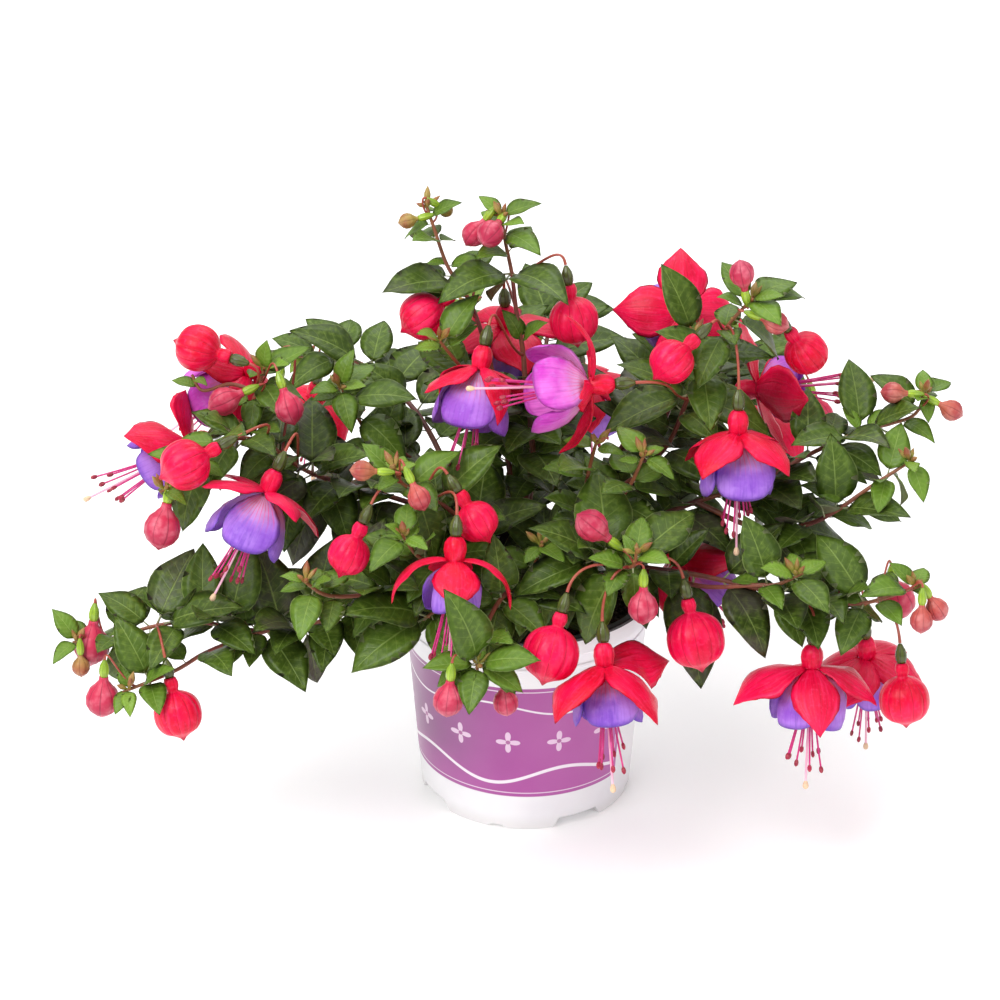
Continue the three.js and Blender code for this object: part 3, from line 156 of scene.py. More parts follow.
bloom("bloom_middle_top", 1, 66, (-19, -20, 232), (-0.2, -0.45, -0.87), 30, 90, turn=-18,
    lean=(4, -18, 14, 4), curl=(104, 40, 96, 60), wide=(0.6, 0.92, 0.58, 0.75), long=(1.14, 0.9, 1.14, 1),
    petalTone=0.2)
bloom("bloom_rear_top", 1, 48, (-10, 36, 228), (0.05, 0.1, -0.98), 20, 100, flare=0.9)
fatBud("bud_top_left", 0, 58, (-33, 5, 246), (-0.75, -0.2, -0.5), 10.7)
fatBud("bud_top_right", 1, 31, (18, 2, 252), (0.15, -0.1, -0.97), 11)
bud(1, 13, (-16, 6, 275), (-0.4, -0.75, -0.3), 6)
bud(1, 13, (-23, 14, 272), (-0.6, -0.1, -0.8), 5.5)
bud(0, 11, (-53, 26, 273), (-0.95, -0.1, -0.2), 3.6)
bud(0, 8, (-37, 32, 276), (0.6, 0.3, -0.5), 3.2)

shoot("shoot_right_top")
stem([(30, 0, 140), (52, -6, 164), (64, -10, 181), (72, -14, 206), (80, -17, 224), (87, -20, 241),
    (98, -22, 256)], root=(12, 4), rule=(82, 35), leaves=[(21, 235, -40, 30), (2, 260, -35, 30),
    (14, 20, -40, 34), (57, 200, -15, 44), (44, 275, -30, 32), (5, 125, 35, 24), (0, 330, 20, 16),
    (0, 35, 10, 26), (2, 30, -5, 32)])
stem([(52, -6, 164), (61, 2, 182), (68, 2, 204), (72, -4, 222), (73, -10, 234)], rule=(31, 100),
    leaves=[(0, 150, 65, 36), (38, 345, -15, 49)])
bloom("bloom_centre_right", 0, 59, (37, -48, 226), (-0.98, -0.15, 0), 0, 100, flare=1.1,
    lean=(4, 14, 4, -34), curl=(76, 40, 76, 24), wide=(0.5, 0.7, 0.5, 0.62), long=(1.2, 0.9, 1.2, 0.5),
    petalTone=1.0, petalWidth=0.8)
bloom("bloom_right_crown", 1, 14, (73, 10, 236), (-0.2, 0.85, -0.4), 20, 92)
bloom("bloom_right_rear", 1, 32, (96, 28, 189), (0.85, -0.2, 0.15), 40, 85, turn=-66, lean=(4, 0, 24, -34),
    curl=(50, 50, 24, 8), wide=(1, 1, 1.15, 1.1), long=(1, 1, 1.05, 1.5), skirt=0.78, petalTone=0.45)
bloom("bloom_right_front", 0, 19, (91, -44, 212), (0, -0.25, -0.97), 40, 84, lean=(6, 6, 4, 4),
    curl=(64, 66, 56, 56), wide=(0.98, 0.98, 0.9, 0.9))
fatBud("bud_right_crown", 0, 20, (73, -32, 241), (-0.65, -0.4, -0.5), 9.7)
fatBud("bud_right_edge", 0, 8, (114, -17, 238), (0.5, 0.2, -0.7), 9.7)
bud(0, 4, (92, -26, 267), (-0.2, 0, 1), 5.5)
bud(0, 9, (106, -32, 248), (0.9, -0.1, -0.3), 5)

shoot("shoot_right_side")
stem([(44, -10, 134), (76, -17, 154), (104, -20, 165), (126, -14, 176), (150, -8, 185), (164, -4, 187),
    (175, -2, 191), (180, 2, 202)], root=(20, -4), rule=(64, 95), leaves=[(45, 210, 5, 32), (40, 95, 45, 36),
    (37, 10, 35, 16), (10, 155, 30, 27), (13, 125, 45, 30), (2, 55, 65, 17), (3, 5, -25, 24)],
    young=[(40, 145, 45, 14), (2, 280, -45, 14)])
stem([(76, -17, 154), (104, -28, 146), (124, -34, 151), (137, -36, 159), (152, -36, 171), (171, -34, 184)],
    rule=(64, 55), leaves=[(42, 120, 80, 36), (40, 320, 10, 36), (15, 45, 60, 30), (15, 250, -25, 22),
    (12, 45, -60, 22), (0, 205, 60, 17), (0, 295, -45, 20), (58, 240, 0, 28)])
bud(0, 9, (164, -8, 204), (-0.95, -0.1, 0.1), 4.8)
bud(0, 7, (190, -4, 194), (0.8, -0.1, -0.4), 4.8)

shoot("shoot_right_low")
stem([(40, -34, 129), (70, -50, 135), (100, -60, 133), (116, -66, 131), (131, -70, 132), (147, -74, 133),
    (171, -78, 144)], root=(17, -16), rule=(64, 15), leaves=[(27, 135, 40, 38), (27, 240, -30, 28),
    (29, 140, -40, 28), (27, 145, -10, 20), (7, 210, 15, 26), (0, 180, 35, 18), (0, 70, 15, 15),
    (108, 280, -60, 52), (104, 290, -55, 46)])
stem([(52, -41, 132), (76, -64, 136), (98, -76, 143), (108, -79, 145), (118, -82, 152)], rule=(47, 60),
    leaves=[(18, 155, 70, 34), (5, 300, -10, 26), (20, 130, -15, 20), (0, 125, 55, 18), (0, 35, 5, 18),
    (3, 200, 25, 18)])
bloom("bloom_low_right", 0, 57, (124, -84, 118), (-0.05, -0.3, -0.95), 0, 82, turn=-22, lean=(10, -20, 8, 4),
    curl=(70, 40, 66, 50), wide=(0.95, 0.9, 1.12, 1), long=(1.1, 1.12, 1.2, 1), twist=(-25, 0, 20, 0),
    skirt=0.92)
bloom("bloom_low_rear", 0, 40, (156, -24, 88), (0.1, 0.1, -0.97), 30, 84, lean=(6, 0, 4, 4),
    wide=(1.1, 1, 1.1, 1), skirt=0.84)
fatBud("bud_low_right", 0, 26, (164, -79, 106), (0.1, -0.25, -0.95), 11.2)
bud(0, 20, (164, -52, 124), (0.2, 0.2, -0.95), 8.5)
bud(0, 9, (170, -86, 132), (0, -0.2, -0.97), 5)
bud(0, 6, (177, -80, 134), (0.5, 0, -0.85), 5)

shoot("shoot_front_right")
stem([(8, -32, 130), (13, -48, 147), (32, -70, 152), (44, -84, 156), (46, -90, 168)], root=(7, -22),
    rule=(64, 5), leaves=[(33, 195, 35, 38), (36, 195, -20, 40), (30, 95, 40, 46), (7, 40, 20, 38),
    (5, 350, 40, 22), (16, 185, 30, 20), (7, 75, 30, 24), (12, 300, -35, 32), (22, 215, -50, 46)],
    young=[(62, 318, -44, 34), (72, 292, -48, 36), (84, 268, -46, 34)])
stem([(8, -32, 130), (24, -38, 152), (42, -46, 172), (51, -54, 197)], rule=(47, 85),
    leaves=[(3, 130, 30, 20), (3, 325, -20, 18), (24, 35, -20, 30), (17, 110, 10, 24)],
    young=[(0, 25, 15, 11)])
stem([(24, -38, 152), (26, -40, 176), (30, -44, 198)], rule=(31, 35), leaves=[(6, 150, 10, 16),
    (17, 240, 25, 30)], young=[(6, 340, 5, 14)])
bloom("bloom_centre_low", 1, 76, (60, -18, 134), (0.6, -0.1, -0.6), 15, 85, flare=0.9, lean=(0, 0, -6, 0),
    curl=(54, 54, 44, 54), wide=(1, 1, 1.2, 1), long=(1, 1, 1.25, 1))
bloom("bloom_front_right", 0, 16, (32, -100, 128), (0.05, -0.45, -0.9), 25, 84, turn=30, lean=(-4, 2, 0, 22),
    curl=(72, 62, 50, 30), wide=(1.25, 1, 1, 1.05), long=(1.2, 1.25, 1, 1.32), twist=(12, 0, 30, -58),
    skirt=0.92)
fatBud("bud_front_right", 0, 18, (14, -99, 142), (-0.25, -0.4, -0.85), 12.4)
fatBud("bud_low_centre", 0, 13, (69, -79, 138), (0.2, -0.35, -0.9), 12.8)
bud(0, 10, (28, -78, 172), (-0.7, 0, 0.6), 7)
bud(0, 11, (49, -94, 143), (0, -0.2, -1), 6.5)

shoot("shoot_front_centre")
stem([(-6, -52, 128), (-14, -84, 137), (-21, -108, 131), (-22, -120, 125)], root=(-2, -31), rule=(31, 0),
    leaves=[(9, 195, 85, 38), (3, 345, 15, 28), (5, 195, 15, 28), (0, 260, -30, 24), (0, 340, -30, 25)],
    young=[(3, 206, 74, 40), (4, 188, 4, 24), (1, 100, 62, 15), (3, 222, -35, 17), (14, 25, -20, 26),
    (12, 330, -40, 26)])
stem([(-6, -52, 128), (-22, -68, 134), (-36, -74, 132), (-46, -78, 127)], rule=(18, 60), tipBuds=0,
    leaves=[(0, 205, 20, 42), (0, 215, -20, 42), (9, 150, -45, 30)], young=[(12, 285, -42, 30),
    (22, 255, -30, 30), (4, 300, -50, 24)])
stem([(-4, -42, 118), (2, -54, 138), (6, -64, 158)], rule=(18, 45), leaves=[(0, 295, 5, 22)],
    young=[(0, 235, -15, 13), (0, 65, 20, 10), (20, 290, -52, 28), (24, 252, -48, 30)])
bud(0, 6, (-34, -128, 117), (-0.1, -0.1, -1), 6.5)
bud(0, 5, (-10, -118, 110), (0.1, -0.1, -1), 5.5)

shoot("shoot_back_middle")
stem([(4, 44, 160), (10, 80, 192), (14, 108, 192), (18, 132, 178)], root=(0, 24), rule=(0, 15))
stem([(4, 44, 160), (-12, 66, 192), (-30, 84, 212)], rule=(0, 50))
bloom("bloom_back_middle", 0, 24, (28, 130, 158), (0.15, 0.25, -0.95), 35, 86)
bud(0, 9, (4, 138, 160), (-0.3, 0.2, -0.95), 7)

shoot("shoot_back_right")
stem([(38, 38, 142), (72, 66, 168), (104, 90, 174), (132, 108, 164)], root=(14, 18), rule=(0, 70))
stem([(38, 38, 142), (58, 44, 176), (80, 50, 198), (98, 54, 212)], rule=(0, 20))
bloom("bloom_back_right", 0, 24, (120, 116, 146), (0.1, 0.2, -0.97), 10, 84)
bud(0, 8, (144, 98, 146), (0.3, -0.1, -0.95), 7.5)
print("plan of", len(shoots), "shoots")


def mixed(a, b, share):
    return a + (b - a) * share


def held(value, low=0.0, high=1.0):
    return max(low, min(high, value))


# A value from rows of (share, value), eased between them.
def along(table, share):
    for (low, first), (high, last) in zip(table, table[1:]):
        if share <= high:
            t = max(0.0, (share - low) / (high - low))
            return mixed(first, last, t * t * (3 - 2 * t) * 0.5 + t * 0.5)
    return table[-1][1]


drawWeights = (12.9898, 78.233, 37.719, 53.117)
drawSpread = 43758.5453


# A number from 0 to 1 that is always the same for the same keys.
def draw(*keys):
    wave = sin(sum((key * weight for key, weight in zip(keys, drawWeights)), 0.5)) * drawSpread
    return wave - floor(wave)


# An object from places in millimetres, with a column of values for its points under each label.
def newObject(name, points, edges, faces, **columns):
    mesh = bpy.data.meshes.new(name)
    mesh.from_pydata([[value * 0.001 for value in point] for point in points], edges, faces)
    for label, column in columns.items():
        kind = {"turn": "FLOAT_VECTOR", "form": "INT"}.get(label, "FLOAT")
        field = "vector" if label == "turn" else "value"
        mesh.attributes.new(label, kind, "POINT").data.foreach_set(field, column)
    made = bpy.data.objects.new(name, mesh)
    scene.collection.objects.link(made)
    return made


def newPiece(name, points, faces, material, uvs=None, **columns):
    made = newObject(name, points, [], faces, **columns)
    made.data.materials.append(material)
    if uvs:
        flat = [value for face in faces for index in face for value in uvs[index]]
        made.data.uv_layers.new(name="UVMap").data.foreach_set("uv", flat)
    made.data.polygons.foreach_set("use_smooth", [True] * len(faces))
    return made


# Faces between rings of point numbers; a ring of one point is a pole.
def skinned(rings):
    faces = []
    for low, high in zip(rings, rings[1:]):
        count = max(len(low), len(high))
        for side in range(count):
            after = (side + 1) % count
            if len(low) == 1:
                faces.append((low[0], high[after], high[side]))
            elif len(high) == 1:
                faces.append((low[side], low[after], high[0]))
            else:
                faces.append((low[side], low[after], high[after], high[side]))
    return faces


# Points and faces of one piece, gathered bit by bit.
class Form:

    def __init__(self):
        self.points, self.faces, self.uvs, self.zones, self.tones = [], [], [], [], []

    def add(self, point, uv, zone, tone):
        self.points.append(tuple(point))
        self.uvs.append(uv)
        self.zones.append(zone)
        self.tones.append(tone)
        return len(self.points) - 1

    # A closed blade; where(row, -1 to 1 across, offset) places the points of its two skins.
    def blade(self, rows, columns, offsets, where, tone=0.5, isFlipped=False):
        grid = {}
        for i in range(rows):
            for j in range(columns):
                isEdge = i in (0, rows - 1) or j in (0, columns - 1)
                for skin, offset in enumerate(offsets):
                    if isEdge and skin:
                        grid[skin, i, j] = grid[0, i, j]
                    else:
                        point = where(i, 2 * j / (columns - 1) - 1, offset)
                        uv = (i / (rows - 1), j / (columns - 1))
                        grid[skin, i, j] = self.add(point, uv, 0.5 if isEdge else float(skin), tone)
        for i in range(rows - 1):
            for j in range(columns - 1):
                corners = (i, j), (i + 1, j), (i + 1, j + 1), (i, j + 1)
                top = tuple(grid[0, *corner] for corner in corners)
                under = tuple(grid[1, *corner] for corner in reversed(corners))
                self.faces += [top[::-1], under[::-1]] if isFlipped else [top, under]

    # A closed body of (radius, depth) rings; swell shapes each ring, marks gives its rings' uv and zone.
    def barrel(self, place, rings, sides, swell=None, tone=0.5, marks=None):
        loops = []
        for index, (radius, depth) in enumerate(rings):
            share = index / (len(rings) - 1)
            loop = []
            for side in range(sides):
                angle = 2 * pi * side / sides
                reach = radius * (swell(angle, share) if swell else 1)
                uv, zone = marks[index] if marks else ((share, side / sides), 0.0)
                loop.append(self.add(place(reach, angle, depth), uv, zone, tone))
            loops.append(loop)
        self.faces += skinned(loops) + [tuple(reversed(loops[0])), tuple(loops[-1])]

    def made(self, name, material):
        return newPiece(name, self.points, self.faces, material, self.uvs, zone=self.zones, tone=self.tones)


# A linear colour from the screen's six digits.
def rgb(hexadecimal):
    values = [int(hexadecimal[i:i + 2], 16) / 255 for i in (0, 2, 4)]
    return tuple(v / 12.92 if v <= 0.04045 else ((v + 0.055) / 1.055) ** 2.4 for v in values) + (1.0,)


# Nodes of a tree; their inputs are linked or set, by name or by number.
class Wiring:

    def put(self, socket, value):
        if isinstance(value, bpy.types.NodeSocket):
            self.tree.links.new(value, socket)
        else:
            isColour = socket.type == "RGBA" and isinstance(value, str)
            socket.default_value = rgb(value) if isColour else value

    def node(self, kind, inputs=None, **settings):
        node = self.tree.nodes.new(kind)
        for label, value in settings.items():
            setattr(node, label, value)
        for label, value in (inputs or {}).items():
            named = (socket for socket in node.inputs if socket.name == label and socket.enabled)
            self.put(node.inputs[label] if isinstance(label, int) else next(named), value)
        return node

    # Adds a node and gives back its first output in use.
    def out(self, kind, inputs=None, **settings):
        return next(socket for socket in self.node(kind, inputs, **settings).outputs if socket.enabled)


# A short way to write a Geometry Nodes tree with named inputs.
class Growth(Wiring):

    def __init__(self, name, **inputs):
        self.tree = bpy.data.node_groups.new(name, "GeometryNodeTree")
        for label, kind in {"Geometry": "Geometry", **inputs}.items():
            self.tree.interface.new_socket(label, in_out="INPUT", socket_type="NodeSocket" + kind)
        self.tree.interface.new_socket("Geometry", in_out="OUTPUT", socket_type="NodeSocketGeometry")
        self.start = self.node("NodeGroupInput").outputs

    def value(self, name, kind="FLOAT"):
        return self.out("GeometryNodeInputNamedAttribute", {"Name": name}, data_type=kind)

    def ended(self, geometry):
        real = self.out("GeometryNodeRealizeInstances", {"Geometry": geometry})
        dressed = self.out("GeometryNodeSetMaterial", {"Geometry": real, "Material": self.start["Material"]})
        self.node("NodeGroupOutput", {0: dressed})
        return self.tree


# Puts one of a collection's forms on every point, by its form, turn and size.
def scatterTree():
    grow = Growth("formsOnSeats", Forms="Collection", Size="Float", Material="Material")
    start = grow.start
    forms = {"Collection": start["Forms"], "Separate Children": True, "Reset Children": True}
    sizes = {0: grow.value("size"), 1: start["Size"]}
    return grow.ended(grow.out("GeometryNodeInstanceOnPoints", {
        "Points": start["Geometry"], "Pick Instance": True,
        "Instance": grow.out("GeometryNodeCollectionInfo", forms),
        "Instance Index": grow.value("form", "INT"), "Rotation": grow.value("turn", "FLOAT_VECTOR"),
        "Scale": grow.out("ShaderNodeMath", sizes, operation="MULTIPLY"),
    }))


# Grows a round tube along every line, as thick as its radius says.
def tubeTree():
    grow = Growth("tubesOnRoutes", Sides="Int", Material="Material")
    radius = grow.value("radius")
    line = grow.out("GeometryNodeMeshToCurve", {"Mesh": grow.start["Geometry"]})
    line = grow.out("GeometryNodeSetCurveRadius", {"Curve": line, "Radius": radius})
    ring = grow.out("GeometryNodeCurvePrimitiveCircle", {"Resolution": grow.start["Sides"], "Radius": 1.0})
    tube = {"Curve": line, "Profile Curve": ring, "Scale": radius, "Fill Caps": True}
    skin = grow.out("GeometryNodeCurveToMesh", tube)
    return grow.ended(grow.out("GeometryNodeSetShadeSmooth", {"Geometry": skin}))


# Strews rough grains over a surface.
def crumbTree():
    sizeInputs = {"Smallest": "Float", "Largest": "Float"}
    grow = Growth("soilCrumbs", Density="Float", Seed="Int", **sizeInputs, Material="Material")
    start = grow.start
    sizes = {"Min": start["Smallest"], "Max": start["Largest"], "Seed": start["Seed"]}
    turns = {"Max": (6.28, 6.28, 6.28), "Seed": start["Seed"]}
    ground = {"Mesh": start["Geometry"], "Density": start["Density"], "Seed": start["Seed"]}
    return grow.ended(grow.out("GeometryNodeInstanceOnPoints", {
        "Points": grow.out("GeometryNodeDistributePointsOnFaces", ground),
        "Instance": grow.out("GeometryNodeMeshIcoSphere", {"Radius": 1.0, "Subdivisions": 1}),
        "Scale": grow.out("FunctionNodeRandomValue", sizes, data_type="FLOAT"),
        "Rotation": grow.out("FunctionNodeRandomValue", turns, data_type="FLOAT_VECTOR"),
    }))


# Takes an object's modifiers into its own plain mesh.
def settled(made):
    graph = bpy.context.evaluated_depsgraph_get()
    shown = made.evaluated_get(graph)
    mesh = bpy.data.meshes.new_from_object(shown, preserve_all_data_layers=True, depsgraph=graph)
    made.modifiers.clear()
    made.data = mesh
    mesh.name = made.name
    return made


# Runs a tree on an object, with its inputs set by their identifiers.
def grownMesh(seed, tree, values):
    growth = seed.modifiers.new("growth", "NODES")
    growth.node_group = tree
    for item in tree.interface.items_tree:
        if item.in_out == "INPUT" and item.name in values:
            growth[item.identifier] = values[item.name]
    return settled(seed)


trees = {"scatter": scatterTree(), "tube": tubeTree(), "crumb": crumbTree()}


# Seats are (place, turn, size, form, tone).
def scattered(name, seats, forms, material, size):
    places, turns, sizes, kinds, tones = zip(*seats)
    flatTurns = [value for turn in turns for value in turn]
    seed = newObject(name, places, [], [], turn=flatTurns, size=sizes, form=kinds, tone=tones)
    return grownMesh(seed, trees["scatter"], {"Forms": forms, "Size": size, "Material": material})


# Lines are lists of (point, radius, age).
def tubes(name, lines, material, sides):
    edges, count = [], 0
    for line in lines:
        edges += [(count + step, count + step + 1) for step in range(len(line) - 1)]
        count += len(line)
    points, radii, ages = zip(*[row for line in lines for row in line])
    seed = newObject(name, points, edges, [], radius=[radius * 0.001 for radius in radii], tone=ages)
    return grownMesh(seed, trees["tube"], {"Sides": sides, "Material": material})


# Pieces as one object, with their materials and values.
def joined(name, pieces):
    target = pieces[0]
    with bpy.context.temp_override(
        active_object=target, object=target, selected_objects=pieces, selected_editable_objects=pieces
    ):
        bpy.ops.object.join()
    target.name = name
    return target


def finished(piece, node):
    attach(piece, "root")
    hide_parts(node)


# A short way to write a material's nodes.
class Nodes(Wiring):

    def __init__(self, name, **settings):
        self.material = bpy.data.materials.new(name)
        self.material.use_nodes = True
        self.tree = self.material.node_tree
        self.shader = next(node for node in self.tree.nodes if node.type == "BSDF_PRINCIPLED")
        self.paint(**settings)

    def paint(self, **values):
        for label, value in values.items():
            self.put(self.shader.inputs[label.replace("_", " ")], value)
        return self.material

    def math(self, operation, a, b=0.0):
        return self.out("ShaderNodeMath", {0: a, 1: b, 2: 0.0}, operation=operation)

    def plus(self, a, b):
        return self.math("ADD", a, b)

    def minus(self, a, b):
        return self.math("SUBTRACT", a, b)

    def times(self, a, b):
        return self.math("MULTIPLY", a, b)

    # How far a value lies from another one.
    def off(self, a, b):
        return self.math("ABSOLUTE", self.minus(a, b))

    def reach(self, a, b):
        return self.math("SQRT", self.plus(self.times(a, a), self.times(b, b)))

    # Even cells over a value, as the distance from each one's middle.
    def cells(self, value, count):
        return self.off(self.math("FRACT", self.times(value, count)), 0.5)

    def mix(self, share, a, b):
        return self.out("ShaderNodeMix", {0: share, 6: a, 7: b}, data_type="RGBA")

    def smooth(self, value, low, high, first=0.0, last=1.0):
        spans = {"Value": value, "From Min": low, "From Max": high, "To Min": first, "To Max": last}
        return self.out("ShaderNodeMapRange", spans, interpolation_type="SMOOTHSTEP")

    # 1 between low and high, eased over soft.
    def band(self, value, low, high, soft):
        rise, fall = (self.smooth(value, edge - soft, edge + soft) for edge in (low, high))
        return self.minus(rise, fall)

    # Tints laid over a colour, as (value, low, high, strength, tint): none at low, full strength at high.
    def tinted(self, colour, *rows):
        for value, low, high, strength, tint in rows:
            colour = self.mix(self.smooth(value, low, high, 0.0, strength), colour, tint)
        return colour

    # Colours or values at places from 0 to 1.
    def ramp(self, share, *stops):
        node = self.node("ShaderNodeValToRGB", {0: share})
        elements = node.color_ramp.elements
        while len(elements) < len(stops):
            elements.new(0.5)
        for element, (place, colour) in zip(elements, stops):
            element.position = place
            element.color = rgb(colour) if isinstance(colour, str) else (colour, colour, colour, 1.0)
        return node.outputs[0]

    def place(self):
        return self.node("ShaderNodeTexCoord").outputs["Object"]

    def noise(self, scale, detail=3.0, place=None):
        values = {"Vector": place or self.place(), "Scale": scale, "Detail": detail}
        return self.out("ShaderNodeTexNoise", values)

    # Noise drawn out along the piece.
    def streaks(self, u, v, lengthwise, crosswise):
        parts = (self.times(u, lengthwise), self.times(v, crosswise), self.times(self.value("tone"), 9.0))
        return self.noise(1.0, 3.0, self.out("ShaderNodeCombineXYZ", dict(enumerate(parts))))

    def parts(self, vector):
        return self.node("ShaderNodeSeparateXYZ", {0: vector}).outputs[:]

    def uv(self):
        return self.parts(self.out("ShaderNodeUVMap", uv_map="UVMap"))[:2]

    def value(self, name):
        return self.node("ShaderNodeAttribute", attribute_name=name).outputs["Fac"]

    def bump(self, height, strength, distance):
        values = {"Strength": strength, "Distance": distance, "Height": height}
        self.paint(Normal=self.out("ShaderNodeBump", values))


def leafMaterial():
    n = Nodes("fuchsiaLeaf", Specular_IOR_Level=0.3)
    u, v = n.uv()
    tone, zone = n.value("tone"), n.value("zone")
    across = n.off(v, 0.5)
    cloud, fine = n.noise(55.0, 4.0), n.noise(420.0)
    ages = (0.0, "32430f"), (0.35, "4c661b"), (0.62, "678a29"), (0.82, "88ab3a"), (1.0, "abcc52")
    face = n.ramp(tone, *ages)
    face = n.tinted(face, (cloud, 0.35, 0.7, 0.42, n.mix(0.6, face, "1d2c08")))
    face = n.tinted(face, (fine, 0.42, 0.75, 0.3, "86a040"))
    # Side veins leave the midrib forwards; between them the blade is raised, and painted shade darkens it
    # there.
    side = n.cells(n.minus(u, n.times(across, 0.42)), 7.6)
    sideVein = n.times(n.smooth(side, 0.0, 0.09, 1.0, 0.0), n.smooth(across, 0.16, 0.46, 0.36, 0.0))
    vein = n.math("MAXIMUM", n.smooth(across, 0.006, 0.026, 1.0, 0.0), sideVein)
    face = n.tinted(face, (side, 0.1, 0.5, 0.15, n.mix(0.5, face, "182808")))
    face = n.mix(n.times(vein, 0.42), face, "93aa56")
    face = n.tinted(face, (across, 0.465, 0.497, 0.5, "a2b868"))
    back = n.ramp(tone, (0.0, "545c40"), (0.5, "737f4e"), (0.8, "93a85c"), (1.0, "a9c468"))
    back = n.tinted(back, (cloud, 0.4, 0.7, 0.35, "6a5750"))
    back = n.mix(n.times(vein, 0.6), back, "b7bf95")
    stalk = n.mix(n.smooth(n.noise(160.0), 0.35, 0.65), "9a4a3a", "a88a4a")
    colour = n.tinted(face, (zone, 0.45, 0.6, 1.0, back), (zone, 1.6, 1.9, 1.0, stalk))
    old = n.times(n.smooth(tone, 0.16, 0.05), n.smooth(cloud, 0.42, 0.62, 0.0, 0.45))
    colour = n.mix(old, colour, "5a4a4c")
    n.bump(n.plus(n.times(vein, -0.7), n.plus(n.times(side, 0.6), fine)), 0.4, 0.0005)
    dull = (0.68, 0.68, 0.68, 1.0)
    rough = n.tinted(n.ramp(fine, (0.3, 0.33), (0.7, 0.47)), (zone, 0.45, 0.6, 1.0, dull))
    return n.paint(Base_Color=colour, Roughness=rough)


def stemMaterial():
    n = Nodes("fuchsiaStem", Roughness=0.5)
    stripe = n.noise(300.0)
    colour = n.ramp(n.value("tone"), (0.0, "8a5a35"), (0.25, "7d3a33"), (0.55, "5a2a2a"), (1.0, "6a4a38"))
    n.bump(stripe, 0.4, 0.0004)
    marks = (n.noise(60.0), 0.4, 0.65, 0.6, "8f5230"), (stripe, 0.5, 0.75, 0.4, "3f1d1f")
    return n.paint(Base_Color=n.tinted(colour, *marks))


def stalkMaterial():
    n = Nodes("fuchsiaStalk", Roughness=0.4)
    fineNoise = n.noise(380.0)
    colour = n.ramp(n.value("tone"), (0.0, "8c2f2b"), (0.6, "9c3f32"), (1.0, "a3473a"))
    n.bump(fineNoise, 0.25, 0.0003)
    return n.paint(Base_Color=n.tinted(colour, (fineNoise, 0.4, 0.7, 0.4, "b36b4c")))


# The ovary behind a flower, with fine lines along it.
def podMaterial(name, first, last, mark):
    n = Nodes(name, Roughness=0.26)
    u, v = n.uv()
    lines = n.math("SINE", n.times(v, 2 * pi * 8))
    n.bump(lines, 0.25, 0.0003)
    marks = (lines, 0.2, 1.0, 0.55, mark), (n.noise(260.0), 0.45, 0.7, 0.3, mark)
    return n.paint(Base_Color=n.tinted(n.mix(n.smooth(u, 0.0, 1.0), first, last), *marks))


# Crimson skin of sepals and fat buds, with fine lines along it; paler and pinker inside. Pink patches are
# painted sheen, pink flecks painted glints, and pale and dark streaks painted light and shade along the
# folds.
def sepalMaterial(name, ribs, ribDepth):
    n = Nodes(name, Roughness=0.34, Specular_IOR_Level=0.16, Coat_Weight=0.13, Coat_Roughness=0.3)
    u, v = n.uv()
    cloud, fineNoise = n.noise(70.0), n.noise(620.0)
    line = n.smooth(n.cells(v, ribs), 0.44, 0.5, 0.0, ribDepth)
    streak = n.streaks(u, v, 2.4, ribs * 2.6)
    colour = n.mix(n.smooth(n.value("tone"), 0.0, 1.0), "dc022c", "e40442")
    # The pink patches of cloud are painted sheen; the pale and dark streaks are painted light and shade along
    # the sepal's folds.
    colour = n.tinted(
        colour, (cloud, 0.35, 0.68, 0.5, "f41a56"), (cloud, 0.6, 0.3, 0.35, "b80222"),
        (streak, 0.52, 0.72, 0.4, "fa3a70"), (streak, 0.48, 0.3, 0.4, "b00024"),
    )
    # The pink flecks of the fine noise are painted glints.
    colour = n.tinted(
        n.mix(line, colour, "96061f"), (fineNoise, 0.5, 0.78, 0.3, "f2487c"),
        (n.value("zone"), 0.5, 1.0, 0.5, "d00a30"), (u, 0.965, 1.0, 0.5, "7d2030"),
    )
    relief = n.plus(n.times(line, -1.2), n.times(fineNoise, 0.6))
    n.bump(n.plus(relief, n.times(streak, 1.6)), 0.5, 0.0005)
    return n.paint(Base_Color=colour)


# Violet, nearly white at the foot with pink veins there; a darker rim, and painted shade in dark streaks
# along its folds.
def petalMaterial():
    n = Nodes("fuchsiaPetal", Roughness=0.5, Specular_IOR_Level=0.25, Sheen_Weight=0.08)
    u, v = n.uv()
    tone = n.value("tone")
    cloud, fineNoise = n.noise(80.0), n.noise(520.0)
    across = n.off(v, 0.5)
    veins = n.math("SINE", n.times(n.plus(v, n.times(cloud, 0.05)), 2 * pi * 11))
    pale, deep = n.mix(tone, "a87adc", "e070d2"), n.mix(tone, "5c30a8", "981f92")
    colour = n.tinted(
        n.mix(tone, "8450c4", "c638b8"), (cloud, 0.34, 0.7, 1.0, pale),
        (u, 0.86, 1.0, 0.7, deep), (across, 0.42, 0.5, 0.6, deep),
    )
    foot = n.times(n.smooth(u, 0.62, 0.1), n.smooth(across, 0.5, 0.2, 0.45, 1.0))
    colour = n.mix(n.times(foot, 0.85), colour, "e2b4da")
    pink = n.times(n.smooth(veins, 0.45, 1.0), n.smooth(u, 0.66, 0.08))
    colour = n.mix(n.times(pink, 0.8), colour, "e0428e")
    faint = n.times(n.smooth(veins, 0.6, 1.0), n.smooth(u, 0.4, 0.8))
    colour = n.mix(n.times(faint, 0.16), colour, deep)
    streak = n.streaks(u, v, 2.0, 16.0)
    n.bump(n.plus(n.times(streak, 1.5), fineNoise), 0.4, 0.0005)
    # The dark streaks are painted shade along the petal's folds.
    marks = (fineNoise, 0.5, 0.75, 0.2, "b890e0"), (streak, 0.48, 0.3, 0.35, deep)
    return n.paint(Base_Color=n.tinted(colour, *marks))


